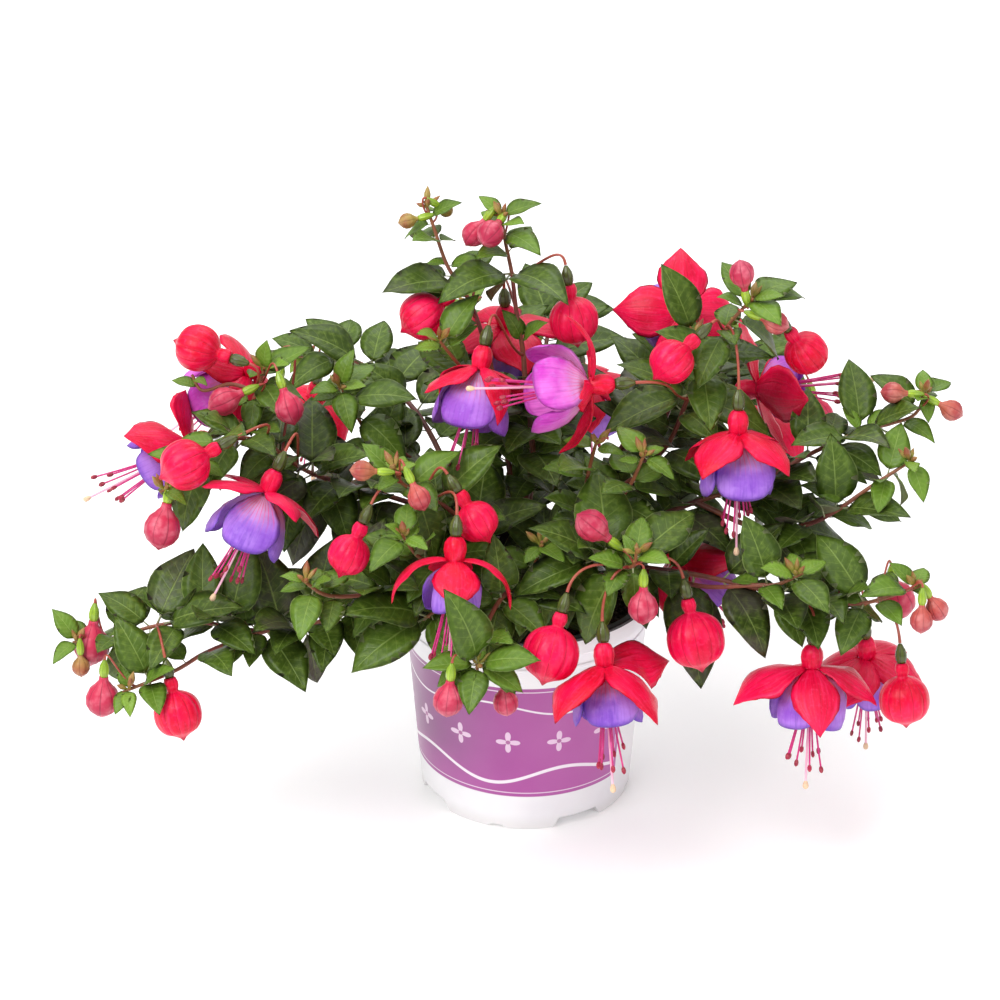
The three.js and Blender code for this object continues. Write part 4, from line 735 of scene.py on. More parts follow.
# Two colours along the piece and a third one in small marks.
def plainMaterial(name, first, last, mark, roughness=0.4, scale=220.0):
    n = Nodes(name, Roughness=roughness)
    fineNoise = n.noise(scale)
    n.bump(fineNoise, 0.3, 0.0003)
    colour = n.mix(n.smooth(n.value("tone"), 0.0, 1.0), first, last)
    return n.paint(Base_Color=n.tinted(colour, (fineNoise, 0.45, 0.72, 0.5, mark)))


# Half-grown buds: dusky rose with darker ribs, greener where they are small, with painted highlights in paler
# patches.
def budMaterial():
    n = Nodes("fuchsiaYoungBud", Roughness=0.36, Specular_IOR_Level=0.3)
    u, v = n.uv()
    tone = n.value("tone")
    rib = n.cells(v, 8.0)
    ripe = n.mix(n.smooth(u, 0.15, 0.95), "c43250", "ac2848")
    young = n.mix(n.smooth(u, 0.1, 0.9), "8f9c3c", "8a5a36")
    # The paler patches are painted highlights: rosy on ripe buds, yellow-green on young ones.
    colour = n.tinted(
        n.mix(tone, young, ripe), (n.noise(180.0), 0.42, 0.7, 0.55, n.mix(tone, "a9b04e", "e07a8c")),
        (rib, 0.4, 0.5, 0.6, n.mix(tone, "5c4a26", "761430")),
    )
    n.bump(n.plus(n.smooth(rib, 0.4, 0.5, 0.0, -1.0), n.noise(420.0)), 0.3, 0.0004)
    return n.paint(Base_Color=colour)


def soilMaterial():
    n = Nodes("pottingSoil", Roughness=0.95)
    cloud, fine = n.noise(120.0, 5.0), n.noise(700.0, 4.0)
    colour = n.ramp(cloud, (0.3, "1d1512"), (0.5, "33251d"), (0.65, "4a372a"), (0.8, "2a1e19"))
    n.bump(n.plus(cloud, fine), 0.8, 0.0015)
    return n.paint(Base_Color=n.tinted(colour, (fine, 0.5, 0.75, 0.5, "6a5340")))


# Edges of the printed panel: angles round the pot, heights and the corners' radius.
panel = {
    "left": -98, "right": 54, "low": 18.5, "high": 79, "corner": 5, "arcPerDegree": 0.93,
    "flowerPitch": 25.34, "flowerHeight": 49.0, "flowerWidth": 23.6,
}


# White moulded plastic: black inside and at the lip, with a printed panel on its front.
def potMaterial():
    n = Nodes("potPlastic", Roughness=0.34, Coat_Weight=0.25, Coat_Roughness=0.2)
    x, y, z = n.parts(n.place())
    angle = n.math("DEGREES", n.math("ARCTAN2", x, n.times(y, -1.0)))
    height = n.times(z, 1000.0)
    cloud, fineNoise = n.noise(30.0), n.noise(900.0)
    left, right, low, high = (panel[key] for key in ("left", "right", "low", "high"))
    corner, arc = panel["corner"], panel["arcPerDegree"]
    # Distances inside the panel's edges, in millimetres, with rounded corners.
    aside = n.minus((right - left) / 2 * arc, n.times(n.off(angle, (left + right) / 2), arc))
    above = n.minus((high - low) / 2, n.off(height, (low + high) / 2))
    outX, outY = (n.math("MAXIMUM", n.minus(corner, inside), 0.0) for inside in (aside, above))
    depth = n.minus(corner, n.reach(outX, outY))
    ground = n.ramp(
        n.smooth(angle, left, right), (0.0, "85567f"), (0.35, "93508a"), (0.65, "a24292"), (1.0, "b355a2")
    )
    ground = n.tinted(ground, (height, 46.0, 18.0, 0.6, "b04c9f"), (cloud, 0.35, 0.7, 0.2, "bd6cae"))
    # A white line, two bands that rise and fall, and a row of plain flowers inside the panel.
    wave = n.math("SINE", n.times(angle, pi / 38))
    lowBand = n.minus(height, n.plus(30.0, n.times(wave, 4.2)))
    highBand = n.minus(height, n.plus(67.0, n.times(wave, -3.0)))
    bands = n.math("MAXIMUM", n.band(lowBand, -0.9, 0.9, 0.15), n.band(highBand, -0.5, 0.5, 0.15))
    bands = n.times(bands, n.smooth(depth, 4.0, 4.4))
    cell = n.math("FRACT", n.math("DIVIDE", n.minus(angle, left), panel["flowerPitch"]))
    localX = n.times(n.minus(cell, 0.5), panel["flowerWidth"])
    localY = n.minus(height, panel["flowerHeight"])
    reach, around = n.reach(localX, localY), n.math("ARCTAN2", localY, localX)
    petals = n.plus(3.6, n.times(n.math("COSINE", n.times(around, 4.0)), 2.2))
    flower = n.smooth(n.minus(petals, reach), 0.0, 0.3)
    colour = n.mix(n.times(n.band(depth, 2.0, 2.5, 0.12), 0.85), ground, "f1e3ef")
    colour = n.mix(n.times(bands, 0.9), colour, "f4eef4")
    colour = n.mix(n.times(flower, 0.8), colour, "edd3e8")
    colour = n.mix(n.times(n.times(flower, n.smooth(reach, 1.25, 0.95)), 0.9), colour, "a4508f")
    white = n.mix(n.smooth(cloud, 0.3, 0.75), "f4f3f5", "e8e6ea")
    outside = n.mix(n.smooth(depth, 0.0, 0.35), white, colour)
    outside = n.mix(n.times(n.band(height, 88.2, 89.0, 0.15), 0.2), outside, "c9c4cc")
    # The wall turns a little greyer towards the foot.
    outside = n.tinted(outside, (height, 9.0, 0.0, 0.3, "c9c2bc"))
    dark = n.mix(n.smooth(fineNoise, 0.35, 0.7), "121213", "242426")
    n.bump(n.plus(n.times(fineNoise, 0.35), n.times(cloud, 0.6)), 0.12, 0.0005)
    return n.paint(Base_Color=n.tinted(outside, (n.value("zone"), 0.4, 0.6, 1.0, dark)))


mats = {
    "leaf": leafMaterial(),
    "stem": stemMaterial(),
    "stalk": stalkMaterial(),
    "pod": podMaterial("fuchsiaPod", "56602a", "47521f", "33251a"),
    "greenPod": podMaterial("fuchsiaYoungPod", "86a52c", "a3c038", "6a8a2c"),
    "sepal": sepalMaterial("fuchsiaSepal", 7, 0.3),
    "ball": sepalMaterial("fuchsiaFatBud", 12, 0.5),
    "petal": petalMaterial(),
    "thread": plainMaterial("fuchsiaFilament", "dd2a86", "c81c74", "ee6aac"),
    "anther": plainMaterial("fuchsiaAnther", "8a0f34", "a8163f", "c4746a", 0.7, 900.0),
    "pistil": plainMaterial("fuchsiaPistil", "e88ab0", "f0b0c8", "f6d0dc"),
    "stigma": plainMaterial("fuchsiaStigma", "ecd0ae", "e4bd98", "cf9a86", 0.6, 700.0),
    "bud": budMaterial(),
    "soil": soilMaterial(),
    "pot": potMaterial(),
}
print("materials")

stemShape = {
    "root": 1.6, "tip": 0.7, "forkLength": 160, "sides": 9, "perSpan": 8, "longSpan": 32,
    "kneeHeight": 8, "kneeShare": 0.1,
}


# A point on the smooth curve through the knots; the ends are drawn out straight.
def splinePoint(knots, place):
    index = min(int(place), len(knots) - 2)
    t = place - index
    first, last = knots[index], knots[index + 1]
    before = knots[index - 1] if index > 0 else first * 2 - last
    after = knots[index + 2] if index + 2 < len(knots) else last * 2 - first
    leave, arrive = (last - before) * 0.5, (after - first) * 0.5
    return (
        first
        + leave * t
        + (first * -3 + last * 3 - leave * 2 - arrive) * t ** 2
        + (first * 2 - last * 2 + leave + arrive) * t ** 3
    )


# A stem's smooth course, and the straight pieces that its solid is made of.
class Route:

    def __init__(self, points, isFork):
        self.isFork = isFork
        knots = [Vector(point) for point in points]
        if not isFork:
            knee = knots[2].lerp(knots[3], stemShape["kneeShare"])
            knee.z = knots[2].z + stemShape["kneeHeight"]
            knots.insert(3, knee)
        steps = stemShape["perSpan"]
        count = steps * (len(knots) - 1)
        self.smooth = [splinePoint(knots, index / steps) for index in range(count + 1)]
        self.points = [point.copy() for point in self.smooth]
        rings = []
        for index in range(count + 1):
            span = min(index // steps, len(knots) - 1)
            ahead = min(span + 1, len(knots) - 1)
            isLong = (knots[ahead] - knots[span]).length > stemShape["longSpan"]
            if index % (steps // 2 if isLong else steps) == 0:
                rings.append(index)
        for low, high in zip(rings, rings[1:]):
            for index in range(low + 1, high):
                self.points[index] = self.points[low].lerp(self.points[high], (index - low) / (high - low))
        self.fromTip = [0.0] * (count + 1)
        for index in range(count - 1, -1, -1):
            step = self.points[index + 1] - self.points[index]
            self.fromTip[index] = self.fromTip[index + 1] + step.length
        self.along = []
        for index in range(count + 1):
            step = self.points[min(index + 1, count)] - self.points[max(index - 1, 0)]
            self.along.append(step.normalized())

    # The sample nearest to a distance from the tip, but never the tip itself.
    def at(self, fromTip):
        allowed = [index for index, value in enumerate(self.fromTip) if value >= 2]
        return min(allowed, key=lambda index: abs(self.fromTip[index] - fromTip))

    def line(self):
        whole = stemShape["forkLength"] if self.isFork else max(self.fromTip[0], 1.0)
        rows = []
        for point, fromTip in zip(self.smooth, self.fromTip):
            share = min(fromTip / whole, 1)
            rows.append((point, mixed(stemShape["tip"], stemShape["root"], share ** 0.8), share))
        return rows


# A leaf is grown one millimetre long, so its sizes are parts of its length.
leafShape = {
    "petiole": 0.15, "halfWidth": 0.272, "arch": 0.07, "rows": 11, "columns": 5, "midribRings": 5,
    "thickness": 0.01, "veins": 7.6, "pucker": 0.006, "midribFrom": -0.02, "midribTo": 0.9, "size": 1.0,
}
# Arch, fold, wave, turns of the wave, twist, sweep, width, droop of the tip.
leafForms = [
    (0.075, 0.20, 0.014, 1.5, 6, 0.02, 1.00, 0.02),
    (0.060, 0.30, 0.010, 2.0, -8, -0.03, 0.94, 0.00),
    (0.090, 0.10, 0.020, 1.2, 10, 0.03, 1.06, 0.05),
    (0.070, 0.24, 0.012, 2.3, -4, 0.00, 1.03, 0.03),
    (0.085, 0.14, 0.018, 1.7, 12, -0.02, 0.97, 0.07),
    (0.065, 0.34, 0.008, 1.4, -10, 0.04, 0.90, -0.02),
    (0.080, 0.06, 0.022, 1.1, -6, -0.04, 1.08, 0.04),
    (0.070, 0.17, 0.016, 2.1, 4, 0.01, 1.04, 0.01),
    (0.095, 0.22, 0.012, 1.8, -12, 0.03, 0.95, 0.08),
]
midribRadii = [(0, 0.017), (0.17, 0.013), (0.24, 0.0105), (1, 0.003)]


def leafFrame(heading, rise):
    level = cos(radians(rise))
    forward = Vector((level * cos(radians(heading)), level * sin(radians(heading)), sin(radians(rise))))
    lookout = Vector((0.25 * forward.x, 0.25 * forward.y - 0.35, 1))
    across = lookout.cross(forward).normalized()
    return forward, across, forward.cross(across)


# A leaf one millimetre long: blade with a smooth edge and puckered veins, petiole and midrib.
def leafPrototype(index, values):
    arch, fold, wave, waves, twist, sweep, width, droop = values
    rows, petiole, rings = leafShape["rows"], leafShape["petiole"], leafShape["midribRings"]
    form = Form()

    def centre(share):
        t = max(0.0, (share - petiole) / (1 - petiole))
        lift = arch * (4 * share * (1 - share) - share * 0.6) - droop * t ** 3
        return Vector((share, sweep * t * t, lift))

    def onBlade(i, v, offset):
        t, out = i / (rows - 1), abs(v)
        half = leafShape["halfWidth"] * width * 2.88 * max(t, 0.004) ** 0.6 * (1 - t) ** 1.04
        half += 0.006 * (1 - t)
        lean = radians(twist) * (t - 0.4)
        side = v * half
        ripple = wave * sin(2 * pi * (waves * t + 0.25 * v + 0.13 * index)) * v * v
        vein = (t - 0.42 * out * 0.5) * leafShape["veins"] * 0.85
        pucker = leafShape["pucker"] * sin(2 * pi * vein) * (1 - out) * min(1, out * 5) * min(1, 5 * (1 - t))
        lift = fold * abs(side) * (0.55 + 0.9 * out ** 0.5 * (1 - 0.45 * out)) + ripple + pucker
        middle = centre(mixed(petiole - 0.01, 1.0, t))
        return middle + Vector((0, side * cos(lean), lift + side * sin(lean))) + Vector((0, 0, offset))

    def onMidrib(radius, angle, share):
        middle = centre(max(share, 0)) + Vector((min(share, 0), 0, 0))
        drop = radius * (1.15 if share > petiole else 0.4) + (0.004 if share > petiole else 0)
        return middle + Vector((0, radius * cos(angle), radius * sin(angle) - drop))

    form.blade(rows, leafShape["columns"], (0.0, -leafShape["thickness"]), onBlade)
    steps = [i / (rings - 1) for i in range(rings)]
    ends = leafShape["midribFrom"], leafShape["midribTo"]
    ribs = [(along(midribRadii, step), mixed(*ends, step)) for step in steps]
    marks = [((max(share, 0), 0.5), 2.0 if share < petiole + 0.03 else 1.0) for _, share in ribs]
    form.barrel(onMidrib, ribs, 4, marks=marks)
    made = form.made(f"leafForm{index}", mats["leaf"])
    made.data.attributes.remove(made.data.attributes["tone"])
    return made


# The forms are kept out of the scene, for the scatter tree.
leafStore = bpy.data.collections.new("leafForms")
for index, values in enumerate(leafForms):
    leafForm = leafPrototype(index, values)
    scene.collection.objects.unlink(leafForm)
    leafStore.objects.link(leafForm)
print("leaf forms", len(leafForms))

# Rows of (distance from the tip, length), for the plant's own pairs and for the ones added between them.
pairRule = [(3, 14), (14, 24), (28, 33), (46, 38), (67, 39), (90, 38), (115, 36), (142, 34)]
infillRule = [(7, 15), (20, 22), (36, 27), (55, 30), (78, 31), (102, 30), (128, 28)]
innerRule = [(48, 30), (66, 33), (84, 34), (100, 34), (116, 33), (132, 32), (148, 30)]


# Pairs of leaves that stand crosswise, older and longer further from the tip.
def ruleLeaves(route, rule, table, extraTurn=0.0):
    ruleFrom, firstTurn = rule
    leaves = []
    for pair, (fromTip, length) in enumerate(table):
        if fromTip < ruleFrom or fromTip > route.fromTip[0] - 24:
            continue
        forwardWay = route.along[route.at(fromTip)]
        forward = atan2(forwardWay.y, forwardWay.x)
        level = Vector((cos(forward + pi / 2), sin(forward + pi / 2), 0))
        lifted = -(forwardWay.cross(level))
        for side in (0, 1):
            turn = radians(firstTurn + extraTurn + 90 * pair + 180 * side)
            out = level * cos(turn) + lifted * sin(turn) + forwardWay * 0.45
            rise = degrees(asin(held(out.z / out.length, -1, 1))) * 0.6
            size = length * (0.9 + 0.2 * draw(pair, side, firstTurn))
            leaves.append((fromTip, degrees(atan2(out.y, out.x)), held(rise, -35, 45), size))
    return leaves


# Points spread over a blade, to find where the foliage is full.
def leafPlaces(root, axes, length):
    forward, across, upward = axes
    places = []
    for share, half in ((0.3, 0.17), (0.45, 0.215), (0.6, 0.19), (0.78, 0.11), (0.97, 0.0)):
        middle = root + forward * length * share
        middle = middle + upward * length * leafShape["arch"] * (4 * share * (1 - share) - share * 0.6)
        for side in (-1, -0.5, 0, 0.5, 1):
            lift = upward * (abs(side) * half * length * 0.18)
            places.append(middle + across * (side * half * length) + lift)
    return places


# The small cells of space that are taken.
cellSize = 4.0
taken = set()


def cellOf(point):
    return tuple(floor(value / cellSize) for value in point)


def take(points):
    taken.update(cellOf(point) for point in points)


# A leaf of the solid is turned a little in each try, until its tip meets the solid's own.
tipSearch = {"tries": 10, "turnStep": 9, "riseStep": 8, "shrink": 0.05, "near": 0.12, "sink": 0.042}
missing = []


# The corners of a node's solid, to see which of its leaves were grown and how they were turned.
def solidCorners(name):
    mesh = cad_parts[name].data
    corners = KDTree(len(mesh.vertices))
    for vertex in mesh.vertices:
        corners.insert(vertex.co * 1000, vertex.index)
    corners.balance()
    return corners


# The leaves of a stem as (root, axes, length, distance from the tip).
def growLeaves(route, entry, shootIndex, stemIndex, corners):
    grown = []
    byRule = ruleLeaves(route, entry["rule"], pairRule) if entry["rule"] else []
    listed = [(leaf, index) for index, leaf in enumerate(entry["leaves"])]
    listed += [(leaf, 40 + index) for index, leaf in enumerate(byRule)]
    for (fromTip, heading, rise, length), leafIndex in listed:
        seat = route.at(fromTip)
        shift = route.along[seat] * (draw(shootIndex, stemIndex, leafIndex, 5) - 0.5)
        for attempt in range(tipSearch["tries"]):
            keys = (shootIndex * 7 + stemIndex, leafIndex, attempt)
            turn, tilt = (attempt * (draw(*keys, which) - 0.5) * 2 for which in (1, 2))
            axes = leafFrame(heading + tipSearch["turnStep"] * turn, rise + tipSearch["riseStep"] * tilt)
            size = length * (1 - tipSearch["shrink"] * attempt * 0.7)
            tip = route.points[seat] + shift + axes[0] * size - axes[2] * (tipSearch["sink"] * size)
            if corners.find(tip)[2] < tipSearch["near"]:
                grown.append((route.smooth[seat] + shift, axes, size, fromTip))
                break
        else:
            missing.append((shootIndex, stemIndex, leafIndex))
    for fromTip, heading, rise, length in entry["young"]:
        grown.append((route.smooth[route.at(fromTip)], leafFrame(heading, rise), length, fromTip))
    return grown


# A leaf as a seat for the scatter tree: small ones are paler, and old ones darker.
def leafSeat(leaf, key):
    root, axes, length, fromTip = leaf
    turn = Matrix(axes).transposed().to_euler("XYZ")
    old = min(1.0, fromTip / 95)
    small = held((36 - length) / 26)
    tone = held(0.30 + 0.42 * small - 0.26 * old + 0.22 * (draw(key, 3, length) - 0.5))
    return root - axes[0] * 0.4, turn, length, int(draw(key, 8, fromTip) * len(leafForms)), tone


# Places a point of a bloom or bud that hangs down its own axis from the ovary's end.
def hangingPlace(end, aim, roll=0):
    down = Vector(aim).normalized()
    turn = Quaternion(down, radians(roll)) @ Vector((0, 0, 1)).rotation_difference(down)
    origin = Vector(end)

    def place(radius, azimuth, depth):
        return turn @ Vector((radius * cos(azimuth), radius * sin(azimuth), depth)) + origin

    return place


# A ring's swell for a number of soft ribs.
def ribbed(depth, count):
    def swell(angle, share):
        return 1 + depth * cos(count * angle)

    return swell


stalkShape = {"radius": 0.6, "steps": 16, "pod": 9, "podRadius": 3.0}
podWidths = [(0, 0.3), (0.14, 0.55), (0.35, 0.86), (0.6, 1.0), (0.82, 0.94), (0.96, 0.76), (1.0, 0.7)]


# The stalk from the stem to where something hangs: it leaves outwards and arrives along the aim.
def stalkLine(route, fromTip, end, aim, thick=1.0):
    start = route.smooth[route.at(fromTip)]
    reach = (end - start).length * 0.45
    outward = Vector((end.x - start.x, end.y - start.y, 0)).normalized() + Vector((0, 0, 0.5))
    outward.normalize()
    first, second = start + outward * reach, end - aim * reach
    rows = []
    for index in range(stalkShape["steps"] + 1):
        t = index / stalkShape["steps"]
        near, far = first * (3 * t * (1 - t) ** 2), second * (3 * t * t * (1 - t))
        point = start * (1 - t) ** 3 + near + far + end * t ** 3
        radius = stalkShape["radius"] * thick * (1 + 0.5 * (1 - min(1, t * 8)) + 0.25 * max(0, t * 6 - 5))
        rows.append((point, radius, t))
    return rows


# The ovary, from the stalk to the bloom.
def growPod(form, end, aim, roll=0, thick=1.0):
    length = stalkShape["pod"] * (0.6 + 0.4 * thick)
    rings = []
    for index in range(13):
        share = index / 12
        rings.append((stalkShape["podRadius"] * thick * along(podWidths, share), -length * (1 - share) + 0.1))
    form.barrel(hangingPlace(end, aim, roll), rings, 16, ribbed(0.03, 4))
    return length


bloomShape = {
    "gap": 0.3, "tube": 11, "belly": 4.7, "sepal": 33, "sepalHalfWidth": 12.2, "sepalRoot": 2.9, "dome": 0.26,
    "skin": 0.7, "rows": 21, "columns": 13,
}
tubeWidths = [(0, 0.5), (0.08, 0.72), (0.25, 0.94), (0.5, 1.0), (0.78, 0.88), (1.0, 0.72)]
sepalWidths = [
    (0, 0.3), (0.12, 0.58), (0.26, 0.88), (0.42, 1.0), (0.58, 0.93), (0.73, 0.66), (0.86, 0.34),
    (0.94, 0.13), (1, 0.01),
]


# Share, radius, depth and lean of a sepal's middle, from its root to its tip.
def sepalPath(item, rows, side, sway=0.0):
    radius, depth = bloomShape["sepalRoot"], bloomShape["gap"] + bloomShape["tube"] - 1
    length = (bloomShape["sepal"] - 2) * item["long"][side]
    spread = item["spread"] + sway + item["lean"][side]
    curl = item["curl"][side]
    path = []
    for i in range(rows):
        share = i / (rows - 1)
        if i:
            middle = radians(spread - curl * (share - 0.5 / (rows - 1)))
            radius += length / (rows - 1) * sin(middle)
            depth += length / (rows - 1) * cos(middle)
        path.append((share, radius, depth, radians(spread - curl * share)))
    return path


def bloomPlace(item):
    return hangingPlace(item["end"], item["aim"], item["roll"] + item["turn"])


# Tube and four domed sepals of an open bloom.
def calyxPiece(item, key):
    place = bloomPlace(item)
    form = Form()
    tone = draw(key, 4)
    rings = [
        (bloomShape["belly"] * along(tubeWidths, i / 14), bloomShape["gap"] + bloomShape["tube"] * i / 14)
        for i in range(15)
    ]

    def tubeSwell(angle, share):
        return 1 + 0.045 * cos(4 * angle) + 0.025 * cos(12 * angle)

    form.barrel(place, rings, 32, tubeSwell, tone)
    for side in range(4):
        azimuth = side * pi / 2
        swing = (draw(key, side, 1) - 0.5) * 0.1
        path = sepalPath(item, bloomShape["rows"], side, 8 * (draw(key, side, 2) - 0.5))

        def onSepal(i, v, offset):
            share, radius, depth, lean = path[i]
            half = bloomShape["sepalHalfWidth"] * item["wide"][side] * along(sepalWidths, share)
            twist = radians(item["twist"][side]) * min(1, share * 2)
            keel = 0.35 * exp(-(v / 0.22) ** 2) * (1 - share)
            dome = bloomShape["dome"] * half * v * v - keel
            ripple = 0.6 * sin(4.2 * share * pi + 2.1 * side + key) * abs(v) ** 3 * sin(pi * share)
            y = v * half * cos(twist)
            sunk = dome - ripple - v * half * sin(twist) - offset
            r = radius - cos(lean) * sunk
            return place(hypot(r, y), azimuth + swing * share + atan2(y, r), depth + sin(lean) * sunk)

        skin = bloomShape["skin"] / 2
        form.blade(bloomShape["rows"], bloomShape["columns"], (skin, -skin), onSepal, tone, isFlipped=True)
    return form.made(item["name"] + "_sepals", mats["sepal"])


petalShape = {
    "length": 26, "mouthRadius": 16.0, "overlap": 1.5, "skin": 0.35, "turn": 45, "top": 0.3, "wave": 0.7,
    "rows": 19, "columns": 17,
}
petalRadii = [(0, 0.17), (0.1, 0.38), (0.25, 0.64), (0.45, 0.86), (0.7, 1.0), (0.88, 1.02), (1, 0.97)]
petalSpans = [(0, 32), (0.15, 44), (0.4, 50), (1, 50)]


# Four broad round petals, each with one edge outside its neighbour.
def corollaPiece(item, key):
    place = bloomPlace(item)
    form = Form()
    p, rows, skirt = petalShape, petalShape["rows"], item["skirt"]
    top = bloomShape["gap"] + bloomShape["tube"] + p["top"]
    tone = 0.1 * draw(key, 6) if item["petalTone"] is None else item["petalTone"]
    for side in range(4):
        azimuth = side * pi / 2 + radians(p["turn"])
        phase = 6.28 * draw(key, side, 9)
        longer = 1 + 0.05 * (draw(key, side, 3) - 0.5)

        def onPetal(i, v, offset):
            t = i / (rows - 1)
            lip = p["length"] * skirt * longer * (1 - 0.10 * v * v - 0.2 * v ** 6)
            radius = p["mouthRadius"] * skirt * item["flare"] * along(petalRadii, t)
            radius -= p["overlap"] * v * min(1, t * 3)
            radius += p["wave"] * sin(3.2 * v + phase) * t ** 2
            curl = max(0, -v - 0.55) * 2.4 * sin(pi * min(1, t * 0.9))  # the outer edge turns outwards
            span = radians(along(petalSpans, t)) * item["petalWidth"]
            return place(radius + offset + curl, azimuth + v * span, top + lip * t)

        skin = p["skin"] / 2
        form.blade(rows, p["columns"], (skin, -skin), onPetal, tone, isFlipped=True)
    return form.made(item["name"] + "_petals", mats["petal"])


threadShape = {
    "count": 8, "radius": 0.42, "reach": 42, "steps": 10, "pistil": 52, "pistilSteps": 14, "top": 0.35,
}
antherRings = [(0.2, -0.4), (0.7, 0.1), (0.95, 0.8), (0.95, 1.8), (0.65, 2.5), (0.2, 2.9)]
stigmaRings = [(0.3, -0.6), (0.8, 0.0), (1.15, 0.9), (1.3, 2.0), (1.05, 2.9), (0.3, 3.4)]


# Eight stamens with anthers, and the longer pistil with its stigma.
def threadPieces(item, key):
    name, t = item["name"], threadShape
    place = hangingPlace(item["end"], item["aim"], item["roll"])
    top = bloomShape["gap"] + bloomShape["tube"] + t["top"]
    lines, anthers, stigma = [], Form(), Form()
    for index in range(t["count"]):
        azimuth = 2 * pi * index / t["count"] + 0.3
        reach = t["reach"] - 1.2 * index * (0.6 + 0.8 * draw(key, index, 2))
        wide = 3.2 + 4.2 * draw(key, index, 3)
        rows = []
        for i in range(t["steps"] + 1):
            share = i / t["steps"]
            turn = azimuth + 0.3 * share * (draw(key, index, 4) - 0.5)
            point = place(1.2 + wide * share ** 1.4, turn, top + 1 + (reach - 1) * share)
            rows.append((point, t["radius"], share))
        lines.append(rows)
        swing = hangingPlace(rows[-1][0], rows[-1][0] - rows[-2][0], 50 * index)
        anthers.barrel(swing, antherRings, 8, ribbed(0.18, 2), draw(key, index, 5))
    rows = []
    for i in range(t["pistilSteps"] + 1):
        share = i / t["pistilSteps"]
        point = place(0.5 + 1.3 * share * share, 0.8, top + 1 + (t["pistil"] - 3.6) * share)
        rows.append((point, t["radius"] * 1.3, share))

    def stigmaSwell(angle, share):
        return 1 + 0.1 * cos(4 * angle) * share

    stigma.barrel(hangingPlace(rows[-1][0], rows[-1][0] - rows[-2][0]), stigmaRings, 12, stigmaSwell)
    return [
        tubes(name + "_threads", lines, mats["thread"], 6),
        anthers.made(name + "_anthers", mats["anther"]),
        tubes(name + "_style", [rows], mats["pistil"], 7),
        stigma.made(name + "_stigma", mats["stigma"]),
    ]


budShape = {
    "gap": 0.3, "tube": 6, "tubeRadius": 3.0, "lengthOfBall": 1.92, "point": 2.2, "ribs": 12, "seamEvery": 3,
    "rib": 0.022, "seam": 0.05, "podThickness": 0.9,
}


# The outline of a round bud over its length, as a part of its widest radius.
def ballRadius(share):
    middle = abs(2 * min(share, 0.985) - 1)
    return sqrt(max(0.0, 1 - middle ** 2.25))


# How deep an angle lies in one of the grooves between the ribs.
def groove(turn, width):
    return exp(-((abs(turn - round(turn))) / width) ** 2)


# A swollen closed bud: a short barrel of a tube and a ribbed ball that ends in a point.
def fatBudPiece(item, key):
    form = Form()
    b, size = budShape, item["radius"]
    rings = []
    for i in range(9):
        share = i / 8
        barrel = 0.86 + 0.24 * sin(pi * min(1, share * 1.1))
        rings.append((b["tubeRadius"] * barrel, b["gap"] + b["tube"] * share))
    for i in range(1, 37):
        share = i / 36
        point = max(0.0, (share - 0.9) * 10)
        radius = max(size * ballRadius(share), b["tubeRadius"] * 0.86 if share < 0.3 else 0.2)
        depth = b["gap"] + b["tube"] + b["lengthOfBall"] * size * share + b["point"] * point ** 2
        rings.append((mixed(radius, 0.2, point ** 1.5), depth))
    neck = b["tube"] / (rings[-1][1] - b["gap"])

    def swell(angle, share):
        ringPlace = rings[int(round(share * (len(rings) - 1)))][1] / rings[-1][1]
        ball = held((ringPlace - neck) * 7) * min(1.0, (1 - ringPlace) * 9)
        turn = b["ribs"] * angle / (2 * pi)
        cut = b["rib"] if round(turn) % b["seamEvery"] else b["seam"]
        puff = 0.012 * sin(2 * angle + key + 5 * ringPlace)
        tubeRib = 0.05 * cos(4 * angle) * (1 - ball)
        return 1 + ball * (puff - groove(turn, 0.14) * cut) + tubeRib

    form.barrel(hangingPlace(item["end"], item["aim"]), rings, 96, swell, draw(key, 7))
    return form.made(item["name"] + "_ball", mats["ball"])


smallProfile = [
    (0.0, 0.27), (0.1, 0.3), (0.2, 0.52), (0.33, 0.84), (0.5, 1.0), (0.66, 0.98), (0.8, 0.78),
    (0.9, 0.46), (0.97, 0.14), (1.0, 0.03),
]
tipProfile = [(0, 0.3), (0.2, 0.42), (0.45, 0.95), (0.62, 1.0), (0.82, 0.6), (1, 0.05)]


# A half-grown bud on a green ovary; gives back where its stalk ends and the way it comes.
def smallBud(form, pods, item, key):
    size = item["radius"]
    direction = Vector(item["aim"]).normalized()
    neck = Vector(item["end"]) - direction * size * 1.25
    rings = [(max(size * along(smallProfile, i / 24), 0.16), 2.65 * size * (i / 24)) for i in range(25)]

    def swell(angle, share):
        return 1 - 0.045 * groove(8 * angle / (2 * pi), 0.16) * max(0, min(1, share * 6 - 1))

    form.barrel(hangingPlace(neck, item["aim"], 90 * draw(key, 1)), rings, 48, swell, held((size - 3) / 2.5))
    length = growPod(pods, neck, item["aim"], 0, 0.42 + 0.045 * size)
    return neck - direction * length, direction


# A bud at a shoot's tip, still green and pointed.
def tinyBud(form, root, way, length, radius, key):
    rings = [(max(0.12, radius * along(tipProfile, i / 12)), length * i / 12) for i in range(13)]
    form.barrel(hangingPlace(root, way, 90 * draw(key, 2)), rings, 12, ribbed(0.06, 4), 0.3 * draw(key, 5))


potShape = {
    "height": 105, "rimRadius": 60, "rimDepth": 9, "shoulder": 57, "foot": 50, "wall": 1.5, "insideFoot": 2.2,
    "pad": 14, "channelInner": 17, "channelOuter": 44, "channelDepth": 5, "floorTop": 6.5, "columns": 288,
    "holes": 4, "holeRadius": 4, "holeReach": 30, "sharp": 35,
}
footNotches = [(26, 5.0, (-61, 29, 119, -151)), (11, 1.6, (-16, 74, 164, -106))]  # width, height, angles


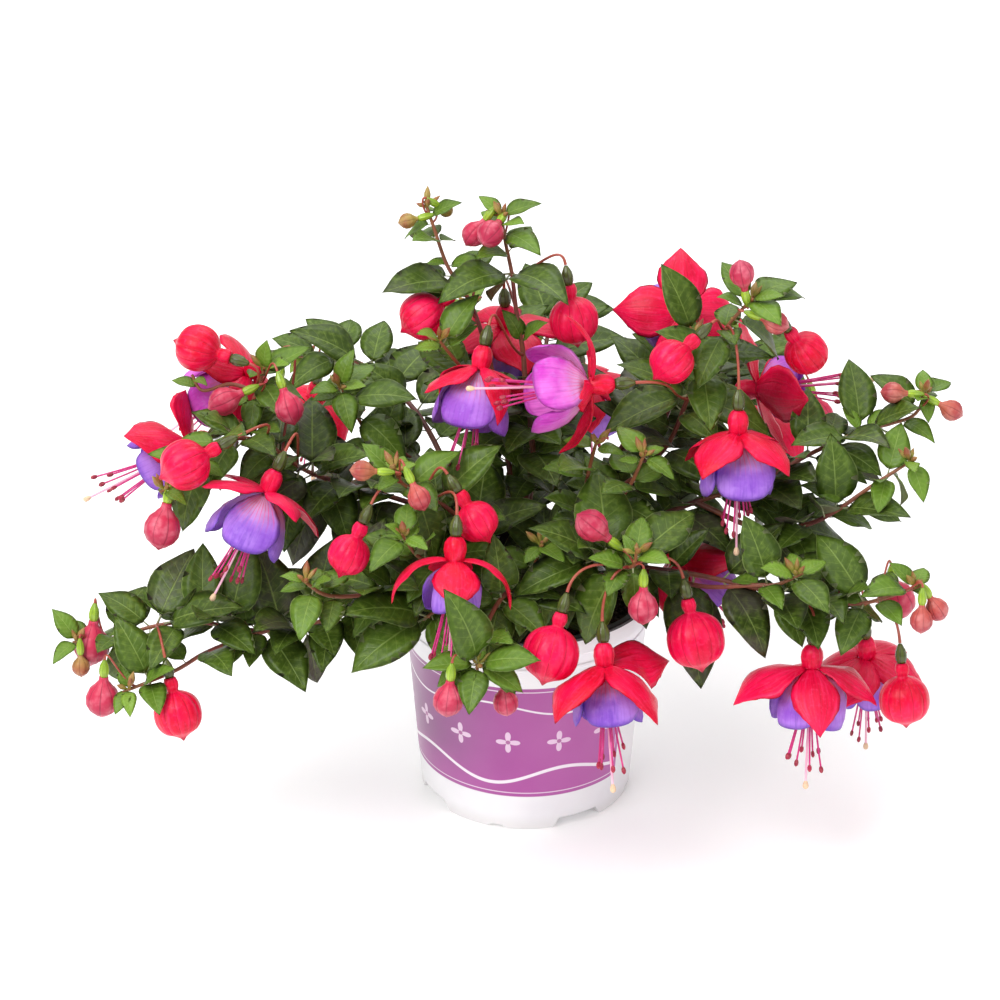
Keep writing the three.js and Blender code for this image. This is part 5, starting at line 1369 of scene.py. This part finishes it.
# How high the foot is cut away at an angle round the pot, counted from -Y towards +X.
def notchHeight(angle):
    best = 0.0
    for width, height, angles in footNotches:
        for middle in angles:
            away = (angle - middle + 180) % 360 - 180
            aside = abs(sin(radians(away))) * potShape["foot"]
            if abs(away) < 60:
                best = max(best, min(height, (width / 2 - aside) * (height + 1) / 3 - 1))
    return best


# The outer wall as (radius, height).
def wallAt(height, proud=0.0):
    p = potShape
    radius = p["foot"] + (p["shoulder"] - p["foot"]) * height / (p["height"] - p["rimDepth"])
    return radius + proud, height


def insideAt(height, inwards=0.0, lift=0.0):
    p = potShape
    foot = p["foot"] - p["insideFoot"]
    span = p["shoulder"] - p["wall"] - p["foot"] + p["insideFoot"]
    radius = foot + span * (height - p["floorTop"]) / (p["height"] - p["floorTop"])
    return radius - inwards, height + lift


# The pot's outline as three lists of (radius, height): under the foot, the foot itself, and the outer side.
def potOutline():
    p = potShape
    rim, ledge, top, channel = p["rimRadius"], p["height"] - p["rimDepth"], p["height"], p["channelOuter"]
    under = [(0, 0), (p["pad"] - 0.4, 0), (p["pad"], 0.25), (p["channelInner"], p["channelDepth"])]
    under.append((channel, p["channelDepth"]))
    foot = [(channel + 1.9, 0.2), (channel + 2.2, 0), (p["foot"] - 0.4, 0), (p["foot"], 0.4)]
    foot += [wallAt(height) for height in (1.2, 2.2, 3.2, 4.2, 5.2)]
    outer = [wallAt(height) for height in (6.0, 6.8, 20, 35, 50, 65, 80, 87.6)]
    outer += [wallAt(88.1, 0.45), wallAt(89.1, 0.45), wallAt(89.6)]
    outer += [(p["shoulder"] - 0.15, ledge - 1), (p["shoulder"] + 0.25, ledge), (rim - 0.5, ledge)]
    outer += [(rim, ledge + 0.5), (rim + 0.1, ledge + 4), (rim + 0.1, top - 2.6), (rim, top - 1.9)]
    return under, foot, outer


# The black part: the lip, the inside and the floor.
def potInside():
    rim, top, floorTop = potShape["rimRadius"], potShape["height"], potShape["floorTop"]
    inner = potShape["shoulder"] - potShape["wall"]
    rows = [(rim, top - 1.2), (rim - 0.25, top - 0.4), (rim - 0.8, top), (rim - 1.8, top)]
    rows += [(rim - 2.2, top - 0.5), (inner + 0.6, top - 0.5), (inner, top - 1.1)]
    rows += [insideAt(height) for height in (96, 88, 78, 60, 40, 20, 9)]
    return rows + [insideAt(floorTop, 1.2, 0.3), insideAt(floorTop, 2.4), (0, floorTop)]


# A point of the foot, lifted where a notch is; its last rows follow the wall.
def liftedFoot(row, radius, height, notch):
    raised = max(height, notch + 0.05 * row) if notch > height else height
    return wallAt(raised) if row >= 3 else (radius, raised)


def buildPot():
    under, foot, outer = potOutline()
    black = potInside()
    profile = under + foot + outer + black
    columns = potShape["columns"]
    notches = [notchHeight(360 * column / columns) for column in range(columns)]
    points, rings, zones = [], [], []
    for index, (radius, height) in enumerate(profile):
        row = index - len(under)
        zone = 1.0 if index >= len(profile) - len(black) else 0.0
        ring = []
        for column in range(columns if radius else 1):
            isFoot = 0 <= row < len(foot)
            reach, z = liftedFoot(row, radius, height, notches[column]) if isFoot else (radius, height)
            angle = radians(360 * column / columns)
            ring.append(len(points))
            points.append((reach * sin(angle), -reach * cos(angle), z))
            zones.append(zone)
        rings.append(ring)
    pot = newPiece("potBody", points, skinned(rings), mats["pot"], zone=zones)
    drillHoles(pot)
    sharpByAngle(pot, potShape["sharp"])
    finished(pot, "pot")


def drillHoles(pot):
    cutters = []
    for hole in range(potShape["holes"]):
        angle, reach = hole * pi / 2, potShape["holeReach"] * 0.001
        bpy.ops.mesh.primitive_cylinder_add(
            vertices=32, radius=potShape["holeRadius"] * 0.001, depth=0.006,
            location=(reach * cos(angle), reach * sin(angle), 0.0057),
        )
        cutters.append(bpy.context.active_object)
    for cutter in cutters:
        cut = pot.modifiers.new("hole", "BOOLEAN")
        cut.object = cutter
        cut.solver = "EXACT"
    settled(pot)
    for cutter in cutters:
        bpy.data.objects.remove(cutter)


# Smooth shading with the true edges kept sharp.
def sharpByAngle(made, limit):
    work = bmesh.new()
    work.from_mesh(made.data)
    for edge in work.edges:
        edge.smooth = len(edge.link_faces) == 2 and edge.calc_face_angle(0) < radians(limit)
    for face in work.faces:
        face.smooth = True
    work.to_mesh(made.data)
    work.free()


soilShape = {
    "top": 92, "radius": 54, "footRadius": 47.2, "aboveFloor": 0.4, "rings": 26, "columns": 96,
    "crumbs": 2600, "seed": 5, "smallest": 0.0004, "largest": 0.0016,
}


def soilHeight(x, y):
    reach = hypot(x, y) / soilShape["radius"]
    wave = 1.0 * sin(x * 0.13 + 1.2) * cos(y * 0.11 - 0.4) + 0.6 * sin(x * 0.31 + y * 0.27)
    return soilShape["top"] + 2.0 * (1 - reach * reach) + 0.8 * wave


def buildSoil():
    s = soilShape
    low = potShape["floorTop"] + s["aboveFloor"]
    points, rings = [(0, 0, low)], [[0]]
    radii = [s["footRadius"]] + [s["radius"] * (s["rings"] - k) / s["rings"] for k in range(s["rings"])]
    for index, radius in enumerate(radii):
        rings.append(list(range(len(points), len(points) + s["columns"])))
        for column in range(s["columns"]):
            angle = 2 * pi * column / s["columns"]
            x, y = radius * cos(angle), radius * sin(angle)
            points.append((x, y, soilHeight(x, y) if index else low))
    rings.append([len(points)])
    points.append((0, 0, soilHeight(0, 0)))
    faces = skinned(rings)
    body = newPiece("soilBody", points, faces, mats["soil"])
    topFaces = [face for face in faces if all(points[index][2] > 80 for index in face)]
    sheet = newPiece("soilCrumbs", points, topFaces, mats["soil"])
    grownMesh(sheet, trees["crumb"], {
        "Density": s["crumbs"] / (pi * (s["radius"] * 0.001) ** 2), "Seed": s["seed"],
        "Smallest": s["smallest"], "Largest": s["largest"], "Material": mats["soil"],
    })
    finished(joined("soilMound", [body, sheet]), "soil")


def buildShoot(plan, shootIndex):
    corners = solidCorners(plan["name"])
    routes = [Route(entry["points"], entry["isFork"]) for entry in plan["stems"]]
    leaves = []
    for stemIndex, (route, entry) in enumerate(zip(routes, plan["stems"])):
        leaves += growLeaves(route, entry, shootIndex, stemIndex, corners)
    for root, axes, length, _ in leaves:
        take(leafPlaces(root, axes, length))
    for route in routes:
        take(route.smooth)
    return {"plan": plan, "index": shootIndex, "routes": routes, "leaves": leaves}


# Takes the space of blooms and buds, so that added leaves keep clear of them.
def markHanging(plan):
    for item in plan["blooms"]:
        place = bloomPlace(item)
        for side in range(4):
            for share, radius, depth, _ in sepalPath(item, 12, side):
                half = 0.75 * bloomShape["sepalHalfWidth"] * item["wide"][side] * along(sepalWidths, share)
                for aside in (-half, 0, half):
                    swing = side * pi / 2 + atan2(aside, radius)
                    take([place(hypot(radius, aside), swing, depth)])
        for depth in range(0, 40, 3):
            mouth = petalShape["mouthRadius"] * item["flare"]
            wide = 4 if depth < 13 else mouth * along(petalRadii, (depth - 12) / 27)
            take(place(wide, turn * pi / 10, depth) for turn in range(20))
    for item in plan["fatBuds"]:
        place = hangingPlace(item["end"], item["aim"])
        for step in range(10):
            wide = item["radius"] * ballRadius(step / 9)
            depth = budShape["tube"] + budShape["lengthOfBall"] * item["radius"] * step / 9
            take(place(wide, turn * pi / 8, depth) for turn in range(16))


# The camera, in millimetres and degrees.
view = {"place": (-12.3, -1107.2, 693.8), "tilt": 63.7, "lens": 96.9, "sensor": 36.0}
# Flowers that added leaves never hide from the front, as (place, radius).
openViews = [((84, -40, 140), 24), ((74, -34, 124), 16), ((-10, 30, 222), 22)]


# Whether a leaf would stand between one of those flowers and the viewer.
def hidesFlower(places):
    for place, radius in openViews:
        flower = Vector(place)
        way = (Vector(view["place"]) - flower).normalized()
        for point in places:
            ahead = (point - flower).dot(way)
            if ahead > 0 and (point - flower - way * ahead).length < radius:
                return True
    return False


# Heights in millimetres under which added leaves would lie on the pot, and how far they try to turn.
infill = {"stemLow": 104, "rimLow": 108, "rimReach": 66, "low": 96, "tries": 8, "turnStep": 11, "riseStep": 9}


def isFree(places, crowding):
    lowest = min(point.z for point in places)
    if lowest < infill["low"] or hidesFlower(places):
        return False
    if lowest < infill["rimLow"] and any(hypot(point.x, point.y) < infill["rimReach"] for point in places):
        return False
    return sum(cellOf(point) in taken for point in places) / len(places) <= crowding


# More pairs of leaves between the others, where there is room for them.
def addInfill(grown, table, firstTurn, crowding):
    for stemIndex, route in enumerate(grown["routes"]):
        for fromTip, heading, rise, length in ruleLeaves(route, (4, firstTurn + 30 * stemIndex), table, 20):
            root = route.smooth[route.at(fromTip)]
            if root.z < infill["stemLow"]:
                continue
            for attempt in range(infill["tries"]):
                key = (grown["index"] * 9 + stemIndex, round(heading), attempt)
                turn = infill["turnStep"] * attempt * (draw(*key, 1) - 0.5)
                tilt = infill["riseStep"] * attempt * (draw(*key, 2) - 0.5)
                axes = leafFrame(heading + turn, rise + tilt)
                size = length * (1 - 0.04 * attempt)
                places = leafPlaces(root, axes, size)
                if isFree(places, crowding):
                    take(places)
                    grown["leaves"].append((root, axes, size, fromTip + 12))
                    break


# The stalk and ovary of one bloom or fat bud.
def hangFrom(item, grown, thick=1.0):
    name, aim = item["name"], Vector(item["aim"]).normalized()
    pod = Form()
    growPod(pod, item["end"], item["aim"], item.get("roll", 0), thick)
    end = Vector(item["end"]) - aim * stalkShape["pod"]
    line = stalkLine(grown["routes"][item["stem"]], item["fromTip"], end, aim)
    pieces = [tubes(name + "_stalk", [line], mats["stalk"], 8), pod.made(name + "_pod", mats["pod"])]
    finished(joined(name + "_stem", pieces), grown["plan"]["name"])


# A shoot's stems, small buds and tips in one piece.
def shootWood(grown):
    plan, index, routes = grown["plan"], grown["index"], grown["routes"]
    name = plan["name"]
    pieces = [tubes(name + "_stems", [route.line() for route in routes], mats["stem"], stemShape["sides"])]
    stalks, pods, buds = [], Form(), Form()
    for number, item in enumerate(plan["buds"]):
        neck, direction = smallBud(buds, pods, item, index * 10 + number)
        stalks.append(stalkLine(routes[item["stem"]], item["fromTip"], neck, direction, 0.8))
    for stemIndex, (route, entry) in enumerate(zip(routes, plan["stems"])):
        tip = route.smooth[route.at(2)]
        for number in range(entry["tipBuds"]):
            heading = 360 * draw(index, stemIndex, 7)
            ways = [(heading, 35 + 40 * draw(index, stemIndex, number, 8), 9.5, 1.6, 0)]
            for more in range(3):
                rise = 15 + 60 * draw(index, stemIndex, more, 6)
                ways.append((heading + 100 * (more + 1), rise, 5 + 1.5 * more, 1.1, more))
            for turn, rise, length, radius, more in ways:
                tinyBud(buds, tip, leafFrame(turn, rise)[0], length, radius, index + number + more)
    if stalks:
        pieces.append(tubes(name + "_stalks", stalks, mats["stalk"], 7))
    if pods.points:
        pieces.append(pods.made(name + "_pods", mats["greenPod"]))
    if buds.points:
        pieces.append(buds.made(name + "_buds", mats["bud"]))
    return joined(name + "_wood", pieces)


def finishShoot(grown):
    plan, index = grown["plan"], grown["index"]
    seats = [leafSeat(leaf, index * 50 + number) for number, leaf in enumerate(grown["leaves"])]
    leaves = scattered(plan["name"] + "_leaves", seats, leafStore, mats["leaf"], leafShape["size"])
    wood = shootWood(grown)
    finished(leaves, plan["name"])
    finished(wood, plan["name"])
    for number, item in enumerate(plan["blooms"]):
        key = index * 10 + number
        hangFrom(item, grown)
        finished(calyxPiece(item, key), item["name"] + "_calyx")
        parts = [corollaPiece(item, key)] + threadPieces(item, key)
        finished(joined(item["name"] + "_skirt", parts), item["name"] + "_corolla")
    for number, item in enumerate(plan["fatBuds"]):
        hangFrom(item, grown, budShape["podThickness"])
        finished(fatBudPiece(item, index * 10 + number), item["name"])


buildPot()
print("pot")
buildSoil()
print("soil")
grownShoots = [buildShoot(plan, index) for index, plan in enumerate(shoots)]
print("leaves found", sum(len(grown["leaves"]) for grown in grownShoots), "not grown", len(missing))
for plan in shoots:
    markHanging(plan)
for table, firstTurn, crowding in ((infillRule, 45, 0.06), (innerRule, 10, 0.14)):
    for grown in grownShoots:
        addInfill(grown, table, firstTurn, crowding)
print("leaves with infill", sum(len(grown["leaves"]) for grown in grownShoots))
for grown in grownShoots:
    finishShoot(grown)

# Lamps as (power, place, height it looks at, size), and a soft sun for the sky.
lamps = {
    "key": (28.0, (-0.9, -1.0, 1.5), 0.15, 1.2),
    "fill": (6.0, (1.3, -0.8, 0.9), 0.15, 1.2),
    "back": (6.0, (0.3, 1.1, 1.3), 0.2, 1.0),
}
sky = {"power": 1.5, "spread": 70, "turn": (-8, -6, 0), "world": 0.44}
ground = {"tone": 0.97, "glow": 0.14, "reach": 12000, "height": -0.05}


def floorMaterial():
    n = Nodes("paperSweep", Roughness=0.9, Emission_Strength=ground["glow"], Emission_Color=(1, 1, 1, 1))
    light, dark = ((tone, tone, tone, 1.0) for tone in (ground["tone"], ground["tone"] * 0.985))
    return n.paint(Base_Color=n.mix(n.noise(3.0, 2.0), light, dark))


# A wide plain floor, so that the plant can be looked at from every side.
def buildStage():
    far, height = ground["reach"], ground["height"]
    corners = [(-far, -far, height), (far, -far, height), (far, far, height), (-far, far, height)]
    newPiece("floor", corners, [(0, 1, 2, 3)], floorMaterial())


def putLight(name, kind, power):
    lamp = bpy.data.lights.new(name, kind)
    lamp.energy = power
    made = bpy.data.objects.new(name, lamp)
    scene.collection.objects.link(made)
    return made


buildStage()
for name, (power, place, aimHeight, size) in lamps.items():
    lamp = putLight(name, "AREA", power)
    lamp.data.size = size
    lamp.location = place
    lamp.rotation_euler = (Vector((0, 0, aimHeight)) - Vector(place)).to_track_quat("-Z", "Y").to_euler()
sun = putLight("sky", "SUN", sky["power"])
sun.data.angle = radians(sky["spread"])
sun.rotation_euler = [radians(turn) for turn in sky["turn"]]
world = bpy.data.worlds.new("studio")
world.use_nodes = True
world.node_tree.nodes["Background"].inputs[0].default_value = (1, 1, 1, 1)
world.node_tree.nodes["Background"].inputs[1].default_value = sky["world"]
scene.world = world
scene.view_settings.view_transform = "Standard"
lens = bpy.data.cameras.new("camera")
lens.lens, lens.sensor_width, lens.clip_start, lens.clip_end = view["lens"], view["sensor"], 0.05, 20
camera = bpy.data.objects.new("camera", lens)
camera.location = [value * 0.001 for value in view["place"]]
camera.rotation_euler = (radians(view["tilt"]), 0, 0)
scene.collection.objects.link(camera)
scene.camera = camera
print("stage")
